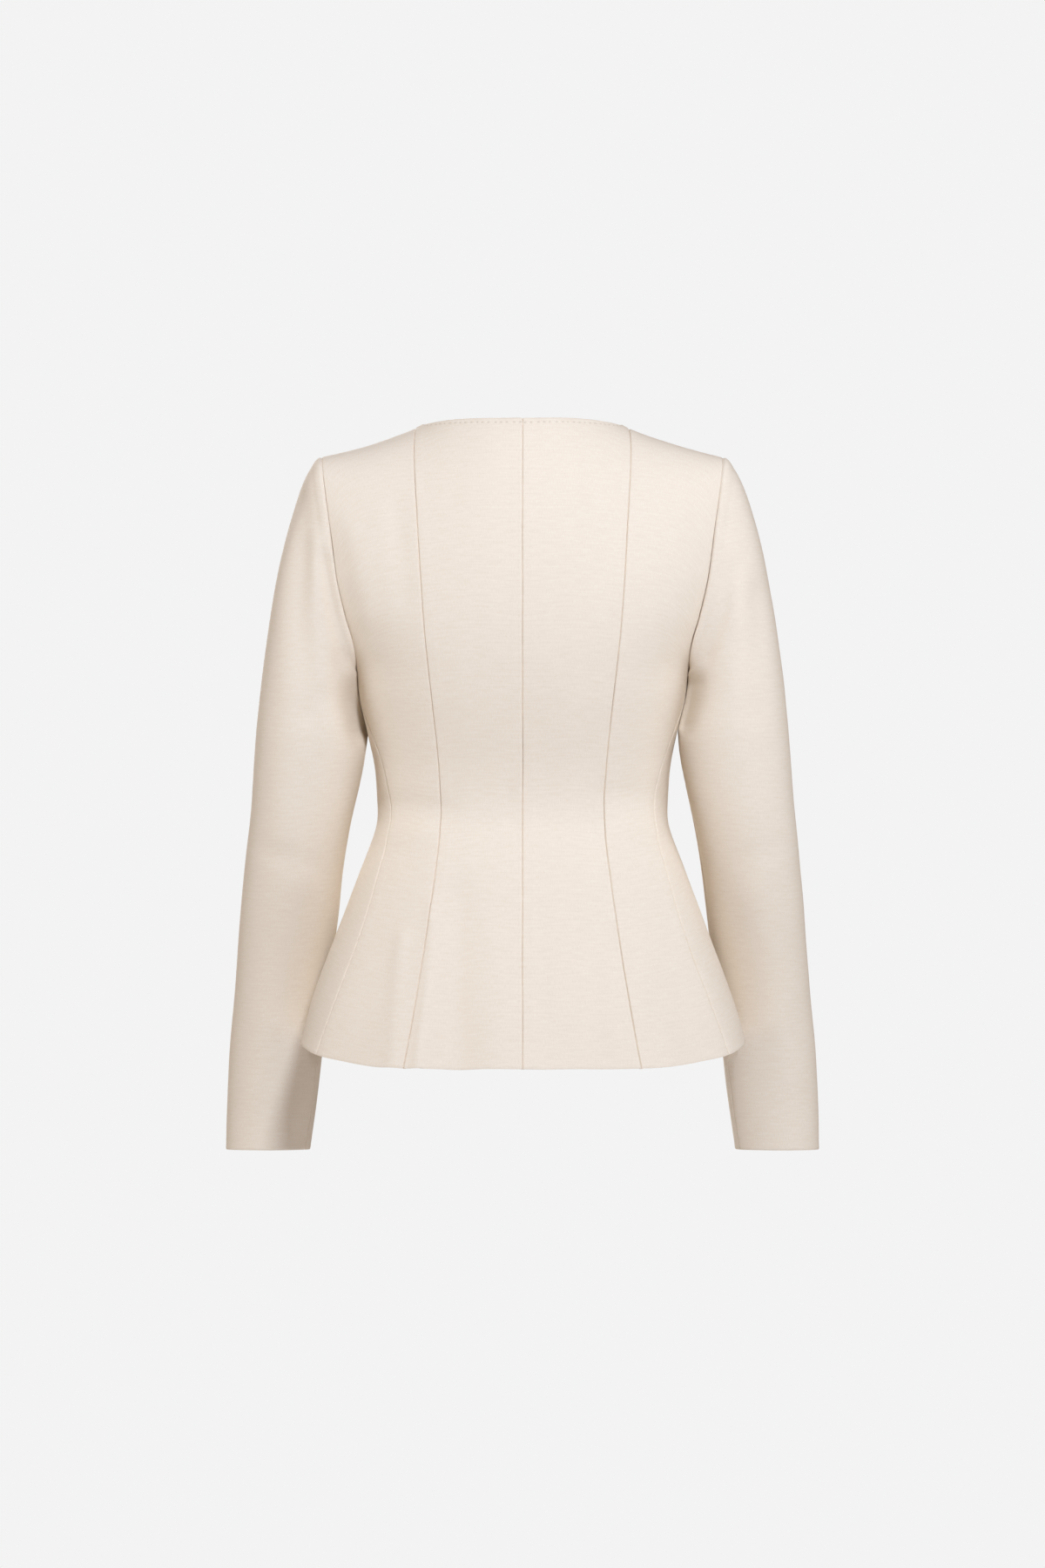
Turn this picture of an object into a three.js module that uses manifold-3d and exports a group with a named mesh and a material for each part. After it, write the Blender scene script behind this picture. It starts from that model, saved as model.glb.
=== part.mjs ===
// A fitted double-breasted jacket without a collar, hollow as when it is worn, cut in princess panels.
// Millimetres, +Z up. The front faces -Y and the wearer's left side is +X. The origin lies midway between
// the two neck points, on the line of the shoulder seams. Every cloth piece is a wall of its own.
import * as THREE from "three";
import { mergeVertices } from "three/addons/utils/BufferGeometryUtils.js";
import Module from "manifold-3d";

const wasm = await Module();
wasm.setup();

// Cloth and making
const CLOTH = 2;
const SEAM_GAP = 0.3;
const CLOTH_COLOUR = 0xefe5d8;
const BUTTON_COLOUR = 0xe6d9c6;

// Heights of the body: the underarm level, and the span of the height scale from there to the shoulder
const UNDERARM = -222;
const UPPER_SPAN = 200;
const SHOULDER = UNDERARM + UPPER_SPAN;

// The body's rings. Above the underarm the width alone is read, as the spread of the stations
// that run up to the shoulder seam. back, front and side are the y of the ring's three points.
const RINGS = [
  { height: -579, halfWidth: 210.5, back: 151, front: -166, side: 9 },
  { height: -528, halfWidth: 196, back: 134, front: -152, side: 6 },
  { height: -484, halfWidth: 180, back: 118, front: -139, side: 2 },
  { height: -440, halfWidth: 162.5, back: 101, front: -126, side: -4 },
  { height: -408, halfWidth: 150, back: 88, front: -117, side: -10 },
  { height: -378, halfWidth: 138.5, back: 75, front: -110, side: -15 },
  { height: -361, halfWidth: 134.3, back: 69, front: -107.5, side: -17 },
  { height: -340, halfWidth: 134.6, back: 67.5, front: -108, side: -18 },
  { height: -312, halfWidth: 136.6, back: 71, front: -114, side: -18 },
  { height: -281, halfWidth: 142.6, back: 78.5, front: -125, side: -17 },
  { height: -250, halfWidth: 149.8, back: 86.5, front: -133.5, side: -15 },
  { height: UNDERARM, halfWidth: 155, back: 92, front: -131, side: -14 },
  { height: -202, halfWidth: 164, back: 95, front: -126, side: -14 },
  { height: -182, halfWidth: 174.5, back: 97, front: -120, side: -14 },
  { height: -152, halfWidth: 185.5, back: 99, front: -112, side: -14 },
  { height: -102, halfWidth: 191, back: 99, front: -100, side: -14 },
  { height: SHOULDER, halfWidth: 193, back: 99, front: -80, side: -14 },
];
const SQUARENESS = 2.35;

// The shoulder seam, carried on over the neck: its height and how far the cloth runs level there
const SHOULDER_LINE = [
  { x: 0, z: 40, backHandle: 100, frontHandle: 66, frontDrop: 30 },
  { x: 30, z: 36, backHandle: 96, frontHandle: 64, frontDrop: 28 },
  { x: 60, z: 22, backHandle: 87, frontHandle: 60, frontDrop: 20 },
  { x: 96, z: -0.8, backHandle: 76, frontHandle: 55, frontDrop: 10 },
  { x: 112, z: -7.2, backHandle: 74, frontHandle: 54, frontDrop: 8 },
  { x: 144, z: -18, backHandle: 72, frontHandle: 54, frontDrop: 6 },
  { x: 184, z: -28.8, backHandle: 70, frontHandle: 54, frontDrop: 5 },
  { x: 194, z: -31.5, backHandle: 70, frontHandle: 54, frontDrop: 5 },
];
const BACK_DROP = 4;
const NECK_POINT_X = 92;
const SHOULDER_POINT_X = 184;

// The back neckline's height across
const BACK_NECK = [
  { x: 0, z: 2 },
  { x: 48, z: 2.8 },
  { x: 64, z: 2.6 },
  { x: 80, z: 1.6 },
  { x: NECK_POINT_X, z: 0.6 },
];

// The hem's height round the body, by the angle from the centre back
const HEM = [
  { angle: 0, height: -577.5 },
  { angle: 35, height: -577.5 },
  { angle: 50, height: -573.5 },
  { angle: 62, height: -569.5 },
  { angle: 90, height: -564 },
  { angle: 120, height: -567 },
  { angle: 150, height: -570 },
  { angle: 180, height: -571 },
];

// How far each princess seam lies from the centre plane
const PRINCESS_SEAMS = [
  { height: -579, back: 105, front: 113 },
  { height: -546, back: 99, front: 106 },
  { height: -504, back: 92, front: 97.5 },
  { height: -456, back: 84.8, front: 88 },
  { height: -408, back: 78.5, front: 79.5 },
  { height: -376, back: 75, front: 75 },
  { height: -345, back: 74.4, front: 74 },
  { height: -312, back: 75.8, front: 76.5 },
  { height: -272, back: 79.5, front: 82 },
  { height: UNDERARM, back: 85, front: 87.5 },
  { height: -182, back: 89.5, front: 90.5 },
  { height: -122, back: 95, front: 94.5 },
  { height: -72, back: 98.5, front: 97 },
  { height: SHOULDER, back: 98, front: 98 },
];

// The side seam, by the angle from the centre back: it shows from behind and ends at the underarm
const SIDE_SEAM = [
  { height: -579, angle: 61 },
  { height: -512, angle: 57 },
  { height: -452, angle: 56 },
  { height: -400, angle: 58.5 },
  { height: -361, angle: 61.5 },
  { height: -328, angle: 64 },
  { height: -300, angle: 69.5 },
  { height: -270, angle: 78.5 },
  { height: -245, angle: 86 },
  { height: UNDERARM, angle: 90 },
];

// The armhole, from the underarm to the shoulder point: how far up the shoulder span it has come,
// and its angle off the side
const ARMHOLE = [
  { step: 0, rise: 0, back: 0, front: 0 },
  { step: 0.08, rise: 0.012, back: 10, front: 10 },
  { step: 0.17, rise: 0.05, back: 18, front: 18 },
  { step: 0.27, rise: 0.12, back: 23, front: 24 },
  { step: 0.36, rise: 0.2, back: 25, front: 27 },
  { step: 0.47, rise: 0.3, back: 26.3, front: 29.2 },
  { step: 0.57, rise: 0.4, back: 26.3, front: 29.5 },
  { step: 0.66, rise: 0.5, back: 25.5, front: 28 },
  { step: 0.79, rise: 0.65, back: 23, front: 25 },
  { step: 0.9, rise: 0.8, back: 20.7, front: 22 },
];

// The front's own edge: it laps past the centre, then runs in a line from the break to the neck point
const FRONT_LAP = 58;
const BREAK = -214;
const LAP_LIFT = 2.7;
const LAP_FADE = 11;

// Soft flutes of the flared skirt, deepest at the hem, with their ridges on the seams
const FLUTE_DEPTH = 4;
const FLUTE_TOP = -385;

// The sleeve's rings below the cap, for the wearer's left arm: its outer and inner points seen from
// behind, its middle and its half depth from front to back
const SLEEVE_RINGS = [
  { outerX: 241.7, outerZ: -246, innerX: 148.4, innerZ: -258, middleY: -7, halfDepth: 53 },
  { outerX: 244.6, outerZ: -273, innerX: 143.8, innerZ: -280, middleY: -8, halfDepth: 52.5 },
  { outerX: 246.6, outerZ: -298, innerX: 145.3, innerZ: -303, middleY: -10, halfDepth: 51.5 },
  { outerX: 248.8, outerZ: -326, innerX: 150.6, innerZ: -330, middleY: -13, halfDepth: 50.5 },
  { outerX: 251.5, outerZ: -358, innerX: 158.4, innerZ: -364, middleY: -18, halfDepth: 49.5 },
  { outerX: 257, outerZ: -404, innerX: 166.6, innerZ: -410, middleY: -29, halfDepth: 48.5 },
  { outerX: 263, outerZ: -454, innerX: 172.4, innerZ: -458, middleY: -45, halfDepth: 47.5 },
  { outerX: 269.8, outerZ: -523, innerX: 181.8, innerZ: -526, middleY: -70, halfDepth: 46 },
  { outerX: 276.8, outerZ: -586, innerX: 190, innerZ: -588, middleY: -91, halfDepth: 44 },
  { outerX: 280.3, outerZ: -634, innerX: 196, innerZ: -635, middleY: -103, halfDepth: 42.5 },
  { outerX: 281.8, outerZ: -675, innerX: 202, innerZ: -675, middleY: -111, halfDepth: 41 },
];
const CUFF_TILT = 0.105;
const SLEEVE_SEAMS = { back: 24, front: -50 };

// How the cap leaves the armhole, at the underarm and at the shoulder
const CAP = {
  droop: { underarm: 82, shoulder: 20 },
  start: { underarm: 5, shoulder: 26 },
  end: { underarm: 12, shoulder: 96 },
  follow: { underarm: 0, shoulder: 0.35 },
};

// Rows and columns of each wall
const ROWS = { skirt: 8, bodice: 7, upper: 12, cap: 8, tube: 15 };
const COLUMNS = { back: 5, sideBack: 6, sideFront: 7, front: 7, topSleeve: 16, underSleeve: 5 };
const WAIST = -361;

// Buttons: two columns of three, four holes each, standing on a short wound shank
const BUTTON = { radius: 10.5, rim: 1.6, thickness: 3.4, dish: 0.8, hole: 1.1, holeOffset: 2.3, segments: 20 };
const SHANK = { radius: 3.6, length: 1.5 };
const BUTTON_COLUMN = 39;
const BUTTON_HEIGHTS = [-242, -304, -366];
const BUTTON_SEAT = 0.8;

const DEGREES = Math.PI / 180;
const mix = (a, b, t) => a + (b - a) * t;
const clamp01 = (t) => Math.min(1, Math.max(0, t));
const ease = (t) => clamp01(t) * clamp01(t) * (3 - 2 * clamp01(t));
const power = (v, p) => Math.sign(v) * Math.abs(v) ** p;

// A column of a table as a smooth function of its key column, held level past both ends.
function smooth(table, key, column) {
  const keys = table.map((row) => row[key]);
  const values = table.map((row) => row[column]);
  const last = keys.length - 1;
  const slopes = keys.map((_, i) => {
    const a = Math.max(i - 1, 0);
    const b = Math.min(i + 1, last);
    return (values[b] - values[a]) / (keys[b] - keys[a]);
  });
  return (at) => {
    if (at <= keys[0]) return values[0];
    if (at >= keys[last]) return values[last];
    let i = 0;
    while (at > keys[i + 1]) i += 1;
    const step = keys[i + 1] - keys[i];
    const t = (at - keys[i]) / step;
    const t2 = t * t;
    const t3 = t2 * t;
    return (
      values[i] * (2 * t3 - 3 * t2 + 1) +
      values[i + 1] * (3 * t2 - 2 * t3) +
      step * (slopes[i] * (t3 - 2 * t2 + t) + slopes[i + 1] * (t3 - t2))
    );
  };
}

function bezier(a, b, c, d, t) {
  const s = 1 - t;
  return a * s * s * s + 3 * b * s * s * t + 3 * c * s * t * t + d * t * t * t;
}

const halfWidth = smooth(RINGS, "height", "halfWidth");
const backDepth = smooth(RINGS, "height", "back");
const frontDepth = smooth(RINGS, "height", "front");
const sideDepth = smooth(RINGS, "height", "side");
const ridgeHeight = smooth(SHOULDER_LINE, "x", "z");
const backHandle = smooth(SHOULDER_LINE, "x", "backHandle");
const frontHandle = smooth(SHOULDER_LINE, "x", "frontHandle");
const frontDrop = smooth(SHOULDER_LINE, "x", "frontDrop");
const neckHeight = smooth(BACK_NECK, "x", "z");
const hemHeight = smooth(HEM, "angle", "height");
const backSeam = smooth(PRINCESS_SEAMS, "height", "back");
const frontSeam = smooth(PRINCESS_SEAMS, "height", "front");
const sideSeam = smooth(SIDE_SEAM, "height", "angle");
const armholeRise = smooth([...ARMHOLE, { step: 1, rise: 1 }], "step", "rise");

// Angles run from the centre back (0) over the wearer's left side (90) to the centre front (180).
function angleAt(x, height, onBack) {
  const share = power(x / halfWidth(height), SQUARENESS / 2);
  const angle = Math.asin(Math.min(1, Math.max(-1, share))) / DEGREES;
  return onBack ? angle : 180 - angle;
}

const shoulderAngle = 90 - angleAt(SHOULDER_POINT_X, SHOULDER, true);
const armholeBack = smooth([...ARMHOLE, { step: 1, back: shoulderAngle }], "step", "back");
const armholeFront = smooth([...ARMHOLE, { step: 1, front: shoulderAngle }], "step", "front");

// How deep the skirt's flutes are at an angle: they lie between the seams, and the lapped fronts are flat.
function fluteAt(angle, height) {
  const seams = [
    0,
    angleAt(backSeam(height), height, true),
    sideSeam(height),
    angleAt(frontSeam(height), height, false),
  ];
  const i = seams.findIndex((seam, n) => n < 3 && angle >= seam && angle <= seams[n + 1]);
  if (i < 0) return 0;
  const across = (angle - seams[i]) / (seams[i + 1] - seams[i]);
  const down = clamp01((FLUTE_TOP - height) / (FLUTE_TOP - hemHeight(angle)));
  return FLUTE_DEPTH * down * (1 - Math.cos(2 * Math.PI * across)) * 0.5;
}

function ringPoint(angle, height) {
  const s = Math.sin(angle * DEGREES);
  const c = Math.cos(angle * DEGREES);
  const side = sideDepth(height);
  const depth = c > 0 ? backDepth(height) - side : side - frontDepth(height);
  const x = halfWidth(height) * power(s, 2 / SQUARENESS);
  const y = depth * power(c, 2 / SQUARENESS);
  const inward = 1 - (height < FLUTE_TOP ? fluteAt(angle, height) / Math.hypot(x, y) : 0);
  return new THREE.Vector3(x * inward, side + y * inward, height);
}

// The body's outer face at an angle and a height on the height scale.
function shell(angle, height) {
  if (height <= UNDERARM) return ringPoint(angle, height);
  const rise = (height - UNDERARM) / UPPER_SPAN;
  const onBack = Math.cos(angle * DEGREES) > 0;
  const base = ringPoint(angle, UNDERARM);
  const slope = ringPoint(angle, UNDERARM + 1).y - ringPoint(angle, UNDERARM - 1).y;
  const x = halfWidth(height) * power(Math.sin(angle * DEGREES), 2 / SQUARENESS);
  const off = Math.abs(x);
  const ridge = ridgeHeight(off);
  const handle = onBack ? backHandle(off) : -frontHandle(off);
  const drop = onBack ? BACK_DROP : frontDrop(off);
  const third = UPPER_SPAN / 3;
  return new THREE.Vector3(
    x,
    bezier(base.y, base.y + (slope / 2) * third, handle, 0, rise),
    bezier(UNDERARM, UNDERARM + third, ridge - drop, ridge, rise),
  );
}

// The outward normal of a face given as a function of two values, from its two tangents.
function normalOf(face, u, v, du, dv) {
  const along = face(u + du, v).sub(face(u - du, v));
  const up = face(u, v + dv).sub(face(u, v - dv));
  return up.cross(along).normalize();
}

function shellNormal(angle, height) {
  const near = Math.min(height, SHOULDER - 0.5);
  const normal = normalOf(shell, angle, near, 0.2, 0.4);
  if (height >= SHOULDER - 0.01) normal.setY(0).normalize();
  return normal;
}

// The lapping front stands proud of the one below it, and comes back to the body at its own seam.
function lift(x, height) {
  const seam = frontSeam(height);
  return LAP_LIFT * ease((seam - 1 - x) / LAP_FADE);
}

// A closed solid between an outer and an inner grid of points.
function wall(outer, inner, mirrored) {
  const rows = outer.length;
  const columns = outer[0].length;
  const positions = [...outer.flat(), ...inner.flat()].flatMap((p) => [mirrored ? -p.x : p.x, p.y, p.z]);
  const index = [];
  const quad = (a, b, c, d) => {
    if (mirrored) index.push(a, b, c, a, c, d);
    else index.push(a, c, b, a, d, c);
  };
  const out = (r, c) => r * columns + c;
  const into = (r, c) => rows * columns + r * columns + c;
  for (let r = 0; r + 1 < rows; r += 1) {
    for (let c = 0; c + 1 < columns; c += 1) {
      quad(out(r, c), out(r, c + 1), out(r + 1, c + 1), out(r + 1, c));
      quad(into(r, c), into(r + 1, c), into(r + 1, c + 1), into(r, c + 1));
    }
  }
  for (let c = 0; c + 1 < columns; c += 1) {
    quad(out(0, c + 1), out(0, c), into(0, c), into(0, c + 1));
    quad(out(rows - 1, c), out(rows - 1, c + 1), into(rows - 1, c + 1), into(rows - 1, c));
  }
  for (let r = 0; r + 1 < rows; r += 1) {
    quad(out(r, 0), out(r + 1, 0), into(r + 1, 0), into(r, 0));
    quad(out(r + 1, columns - 1), out(r, columns - 1), into(r, columns - 1), into(r + 1, columns - 1));
  }
  const geometry = new THREE.BufferGeometry();
  geometry.setAttribute("position", new THREE.Float32BufferAttribute(positions, 3));
  geometry.setIndex(index);
  geometry.computeVertexNormals();
  return geometry;
}

// Draws a grid's four edges in by half the seam gap, so that neighbouring walls stand clear.
function drawIn(grid, normals) {
  const pull = (point, toward, normal) => {
    const way = toward.clone().sub(point);
    way.addScaledVector(normal, -way.dot(normal));
    return point.clone().addScaledVector(way.normalize(), SEAM_GAP / 2);
  };
  const rows = grid.length;
  const columns = grid[0].length;
  const sides = grid.map((row, r) => {
    const copy = row.map((p) => p.clone());
    copy[0] = pull(row[0], row[1], normals[r][0]);
    copy[columns - 1] = pull(row[columns - 1], row[columns - 2], normals[r][columns - 1]);
    return copy;
  });
  const done = sides.map((row) => row.map((p) => p.clone()));
  for (let c = 0; c < columns; c += 1) {
    done[0][c] = pull(sides[0][c], sides[1][c], normals[0][c]);
    done[rows - 1][c] = pull(sides[rows - 1][c], sides[rows - 2][c], normals[rows - 1][c]);
  }
  return done;
}

// A panel of the body between two edges. An edge gives its angle and height at each row.
function panelGrid(left, right, columns, { byX = false, shape = (r, t) => t, raise = null } = {}) {
  const outer = [];
  const normals = [];
  left.forEach((from, r) => {
    const to = right[r];
    const points = [];
    const ways = [];
    for (let c = 0; c <= columns; c += 1) {
      const t = c / columns;
      const height = mix(from.height, to.height, shape(r, t));
      const onBack = from.angle < 90;
      const angle = byX ? angleAt(mix(from.x, to.x, t), height, onBack) : mix(from.angle, to.angle, t);
      const normal = shellNormal(angle, height);
      const point = shell(angle, height);
      if (raise) point.addScaledVector(normal, raise(point.x, height));
      points.push(point);
      ways.push(normal);
    }
    outer.push(points);
    normals.push(ways);
  });
  const drawn = drawIn(outer, normals);
  const inner = drawn.map((row, r) => row.map((p, c) => p.clone().addScaledVector(normals[r][c], -CLOTH)));
  return [drawn, inner];
}

// Heights of the rows from the hem to the underarm, at an angle found from the hem up.
function lowerHeights(hem) {
  const heights = [];
  for (let r = 0; r <= ROWS.skirt; r += 1) heights.push(mix(hem, WAIST, r / ROWS.skirt));
  for (let r = 1; r <= ROWS.bodice; r += 1) heights.push(mix(WAIST, UNDERARM, r / ROWS.bodice));
  return heights;
}

// An edge at a distance from the centre plane: the hem meets it where its own height says.
function edgeAtX(xOf, onBack, top) {
  let hem = hemHeight(onBack ? 0 : 180);
  for (let i = 0; i < 4; i += 1) hem = hemHeight(angleAt(xOf(hem), hem, onBack));
  const heights = lowerHeights(hem);
  for (let r = 1; r <= ROWS.upper; r += 1) heights.push(mix(UNDERARM, top, r / ROWS.upper));
  return heights.map((height) => {
    const x = xOf(height);
    return { height, x, angle: angleAt(x, height, onBack) };
  });
}

// The armhole at even steps along its length, from the underarm to the shoulder point.
function armholeEdge(onBack, steps) {
  const fine = 240;
  const off = onBack ? armholeBack : armholeFront;
  const at = (s) => ({
    height: UNDERARM + UPPER_SPAN * armholeRise(s),
    angle: onBack ? 90 - off(s) : 90 + off(s),
  });
  const places = Array.from({ length: fine + 1 }, (_, i) => at(i / fine));
  const lengths = [0];
  for (let i = 1; i <= fine; i += 1) {
    const a = shell(places[i - 1].angle, places[i - 1].height);
    const b = shell(places[i].angle, places[i].height);
    lengths.push(lengths[i - 1] + a.distanceTo(b));
  }
  return Array.from({ length: steps + 1 }, (_, n) => {
    const want = (lengths[fine] * n) / steps;
    let i = 1;
    while (i < fine && lengths[i] < want) i += 1;
    const t = clamp01((want - lengths[i - 1]) / (lengths[i] - lengths[i - 1]));
    return n === steps ? at(1) : at((i - 1 + t) / fine);
  });
}

function sideEdge(onBack) {
  let hem = hemHeight(60);
  for (let i = 0; i < 4; i += 1) hem = hemHeight(sideSeam(hem));
  const lower = lowerHeights(hem).map((height) => ({ height, angle: sideSeam(height) }));
  return [...lower, ...armholeEdge(onBack, ROWS.upper).slice(1)];
}

// Where the back neckline crosses a distance from the centre.
function neckLevel(x) {
  let low = UNDERARM;
  let high = SHOULDER;
  for (let i = 0; i < 40; i += 1) {
    const middle = (low + high) / 2;
    if (shell(angleAt(x, middle, true), middle).z < neckHeight(x)) low = middle;
    else high = middle;
  }
  return low;
}

// The front's own edge: straight down the lap, and in a line up to the neck point.
function frontEdgeX(height) {
  const climb = clamp01((height - BREAK) / (SHOULDER - BREAK));
  const across = bezier(0, 0.3, 0.93, 1, climb);
  return mix(-FRONT_LAP, NECK_POINT_X, across);
}

function backPanel() {
  const centre = edgeAtX(() => 0, true, neckLevel(0));
  const princess = edgeAtX(backSeam, true, SHOULDER);
  const last = centre.length - 1;
  const lower = last - ROWS.upper;
  // The rows bend from level at the underarm to the line of the neck at the top.
  const neckShape = (t) => {
    const x = Math.min(mix(0, princess[last].x, t), NECK_POINT_X);
    const run = t < 1 ? neckLevel(x) : SHOULDER;
    return (run - centre[last].height) / (SHOULDER - centre[last].height);
  };
  const shape = (r, t) => mix(t, neckShape(t), r > lower ? (r - lower) / ROWS.upper : 0);
  return panelGrid(centre, princess, COLUMNS.back, { byX: true, shape });
}

function sideBackPanel() {
  return panelGrid(edgeAtX(backSeam, true, SHOULDER), sideEdge(true), COLUMNS.sideBack);
}

function sideFrontPanel() {
  return panelGrid(sideEdge(false), edgeAtX(frontSeam, false, SHOULDER), COLUMNS.sideFront);
}

function frontPanel(raise) {
  const princess = edgeAtX(frontSeam, false, SHOULDER);
  const free = edgeAtX(frontEdgeX, false, SHOULDER);
  return panelGrid(princess, free, COLUMNS.front, { byX: true, raise });
}

// The sleeve. Turns run from the inner side (0) over the back (90) and the outer side (180).
const ringRows = SLEEVE_RINGS.map((ring, i) => ({ ring: i, ...ring }));
const sleeveColumn = Object.fromEntries(
  Object.keys(SLEEVE_RINGS[0]).map((name) => [name, smooth(ringRows, "ring", name)]),
);
const lastRing = SLEEVE_RINGS.length - 1;

function tubePoint(turn, ring) {
  const c = Math.cos(turn * DEGREES);
  const s = Math.sin(turn * DEGREES);
  const at = (name) => sleeveColumn[name](ring);
  const away = (1 - c) / 2;
  const tilt = CUFF_TILT * ease(ring - lastRing + 1) * at("halfDepth") * s;
  return new THREE.Vector3(
    mix(at("innerX"), at("outerX"), away),
    at("middleY") + at("halfDepth") * s,
    mix(at("innerZ"), at("outerZ"), away) + tilt,
  );
}

const ARMHOLE_STEPS = 72;
const armholeLoop = { back: armholeEdge(true, ARMHOLE_STEPS), front: armholeEdge(false, ARMHOLE_STEPS) };

// The armhole's point, its surface normal and the way the cloth would run on past it.
function armholeAt(turn) {
  const wrapped = ((turn % 360) + 360) % 360;
  const onBack = wrapped <= 180;
  const loop = onBack ? armholeLoop.back : armholeLoop.front;
  const along = ((onBack ? wrapped : 360 - wrapped) / 180) * ARMHOLE_STEPS;
  const i = Math.min(Math.floor(along), ARMHOLE_STEPS - 1);
  const t = along - i;
  const angle = mix(loop[i].angle, loop[i + 1].angle, t);
  const height = mix(loop[i].height, loop[i + 1].height, t);
  const point = shell(angle, height);
  const ahead = shell(loop[i + 1].angle, loop[i + 1].height).sub(shell(loop[i].angle, loop[i].height));
  if (!onBack) ahead.negate();
  const normal = shellNormal(angle, height);
  const past = new THREE.Vector3().crossVectors(normal, ahead).normalize();
  return { point, normal, past };
}

// A point of the cap, from the armhole (0) to the first full ring (1).
function capPoint(turn, t) {
  const { point, past } = armholeAt(turn);
  const away = (1 - Math.cos(turn * DEGREES)) / 2;
  const at = (name) => mix(CAP[name].underarm, CAP[name].shoulder, away);
  const droop = at("droop") * DEGREES;
  const way = new THREE.Vector3(Math.cos(droop), 0, -Math.sin(droop)).multiplyScalar(1 - at("follow"));
  way.addScaledVector(past, at("follow")).normalize();
  const start = point.clone().addScaledVector(past, SEAM_GAP);
  const end = tubePoint(turn, 0);
  const down = tubePoint(turn, 0.2).sub(end).normalize();
  const first = start.clone().addScaledVector(way, at("start"));
  const second = end.clone().addScaledVector(down, -mix(CAP.end.underarm, CAP.end.shoulder, away ** 1.4));
  return new THREE.Vector3(
    bezier(start.x, first.x, second.x, end.x, t),
    bezier(start.y, first.y, second.y, end.y, t),
    bezier(start.z, first.z, second.z, end.z, t),
  );
}

const sleevePoint = (turn, along) => (along < 1 ? capPoint(turn, along) : tubePoint(turn, along - 1));

function sleeveNormal(turn, along) {
  const at = Math.min(Math.max(along, 0.02), lastRing + 1 - 0.02);
  return normalOf(sleevePoint, turn, at, 0.5, -0.01);
}

// A sleeve piece between two turns, from the armhole to the cuff.
function sleevePanel(fromTurn, toTurn, columns) {
  const stations = [];
  for (let r = 0; r <= ROWS.cap; r += 1) stations.push((r / ROWS.cap) ** 1.25);
  for (let r = 1; r <= ROWS.tube; r += 1) stations.push(1 + (lastRing * r) / ROWS.tube);
  const rows = stations.reverse();
  const turns = Array.from({ length: columns + 1 }, (_, c) => mix(fromTurn, toTurn, c / columns));
  const outer = rows.map((along) => turns.map((turn) => sleevePoint(turn, along)));
  const normals = rows.map((along) => turns.map((turn) => sleeveNormal(turn, along)));
  const drawn = drawIn(outer, normals);
  const top = rows.length - 1;
  drawn[top] = outer[top].map((p, c) => {
    const beside = c === 0 ? 1 : c === columns ? columns - 1 : c;
    const way = outer[top][beside].clone().sub(p);
    return beside === c ? p : p.clone().addScaledVector(way.normalize(), SEAM_GAP / 2);
  });
  // At the armhole the wall's edge faces the body's edge and never leans over it.
  turns.forEach((turn, c) => {
    const { past } = armholeAt(turn);
    const lean = Math.max(0, normals[top][c].dot(past));
    normals[top][c].addScaledVector(past, -lean).normalize();
  });
  const inner = drawn.map((row, r) => row.map((p, c) => p.clone().addScaledVector(normals[r][c], -CLOTH)));
  return [drawn, inner];
}

// A four-hole button, turned on a lathe and drilled.
function solidOf(geometry) {
  const bare = geometry.clone();
  bare.deleteAttribute("normal");
  bare.deleteAttribute("uv");
  const merged = mergeVertices(bare, 1e-3);
  return new wasm.Manifold(
    new wasm.Mesh({
      numProp: 3,
      vertProperties: merged.attributes.position.array,
      triVerts: new Uint32Array(merged.index.array),
    }),
  );
}

function buttonGeometry() {
  const { radius, rim, thickness, dish, hole, holeOffset, segments } = BUTTON;
  const base = SHANK.length;
  const face = base + thickness;
  const profile = [
    [0, 0],
    [SHANK.radius, 0],
    [SHANK.radius, base],
    [radius - 2.4, base],
    [radius - 0.5, base + 1],
    [radius, base + thickness / 2],
    [radius - 0.5, face - 0.3],
    [radius - rim / 2, face],
    [radius - rim, face - 0.2],
    [radius - rim - 1.2, face - dish],
    [0, face - dish],
  ].map(([r, z]) => new THREE.Vector2(r, z));
  const turned = new THREE.LatheGeometry(profile, segments).rotateX(Math.PI / 2);
  let body = solidOf(turned);
  for (let n = 0; n < 4; n += 1) {
    const way = (n + 0.5) * 90 * DEGREES;
    const drill = new THREE.CylinderGeometry(hole, hole, thickness, 6).rotateX(Math.PI / 2);
    drill.translate(Math.cos(way) * holeOffset, Math.sin(way) * holeOffset, face - 0.7);
    body = body.subtract(solidOf(drill));
  }
  const made = body.getMesh();
  const geometry = new THREE.BufferGeometry();
  geometry.setAttribute("position", new THREE.Float32BufferAttribute(made.vertProperties, 3));
  geometry.setIndex(new THREE.Uint32BufferAttribute(made.triVerts, 1));
  geometry.computeVertexNormals();
  return geometry;
}

const cloth = () => new THREE.MeshStandardMaterial({ color: CLOTH_COLOUR, roughness: 0.9, metalness: 0 });
const horn = () => new THREE.MeshStandardMaterial({ color: BUTTON_COLOUR, roughness: 0.4, metalness: 0 });

const jacket = new THREE.Group();

function add(name, geometry, material) {
  const mesh = new THREE.Mesh(geometry, material);
  mesh.name = name;
  jacket.add(mesh);
  return mesh;
}

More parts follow.
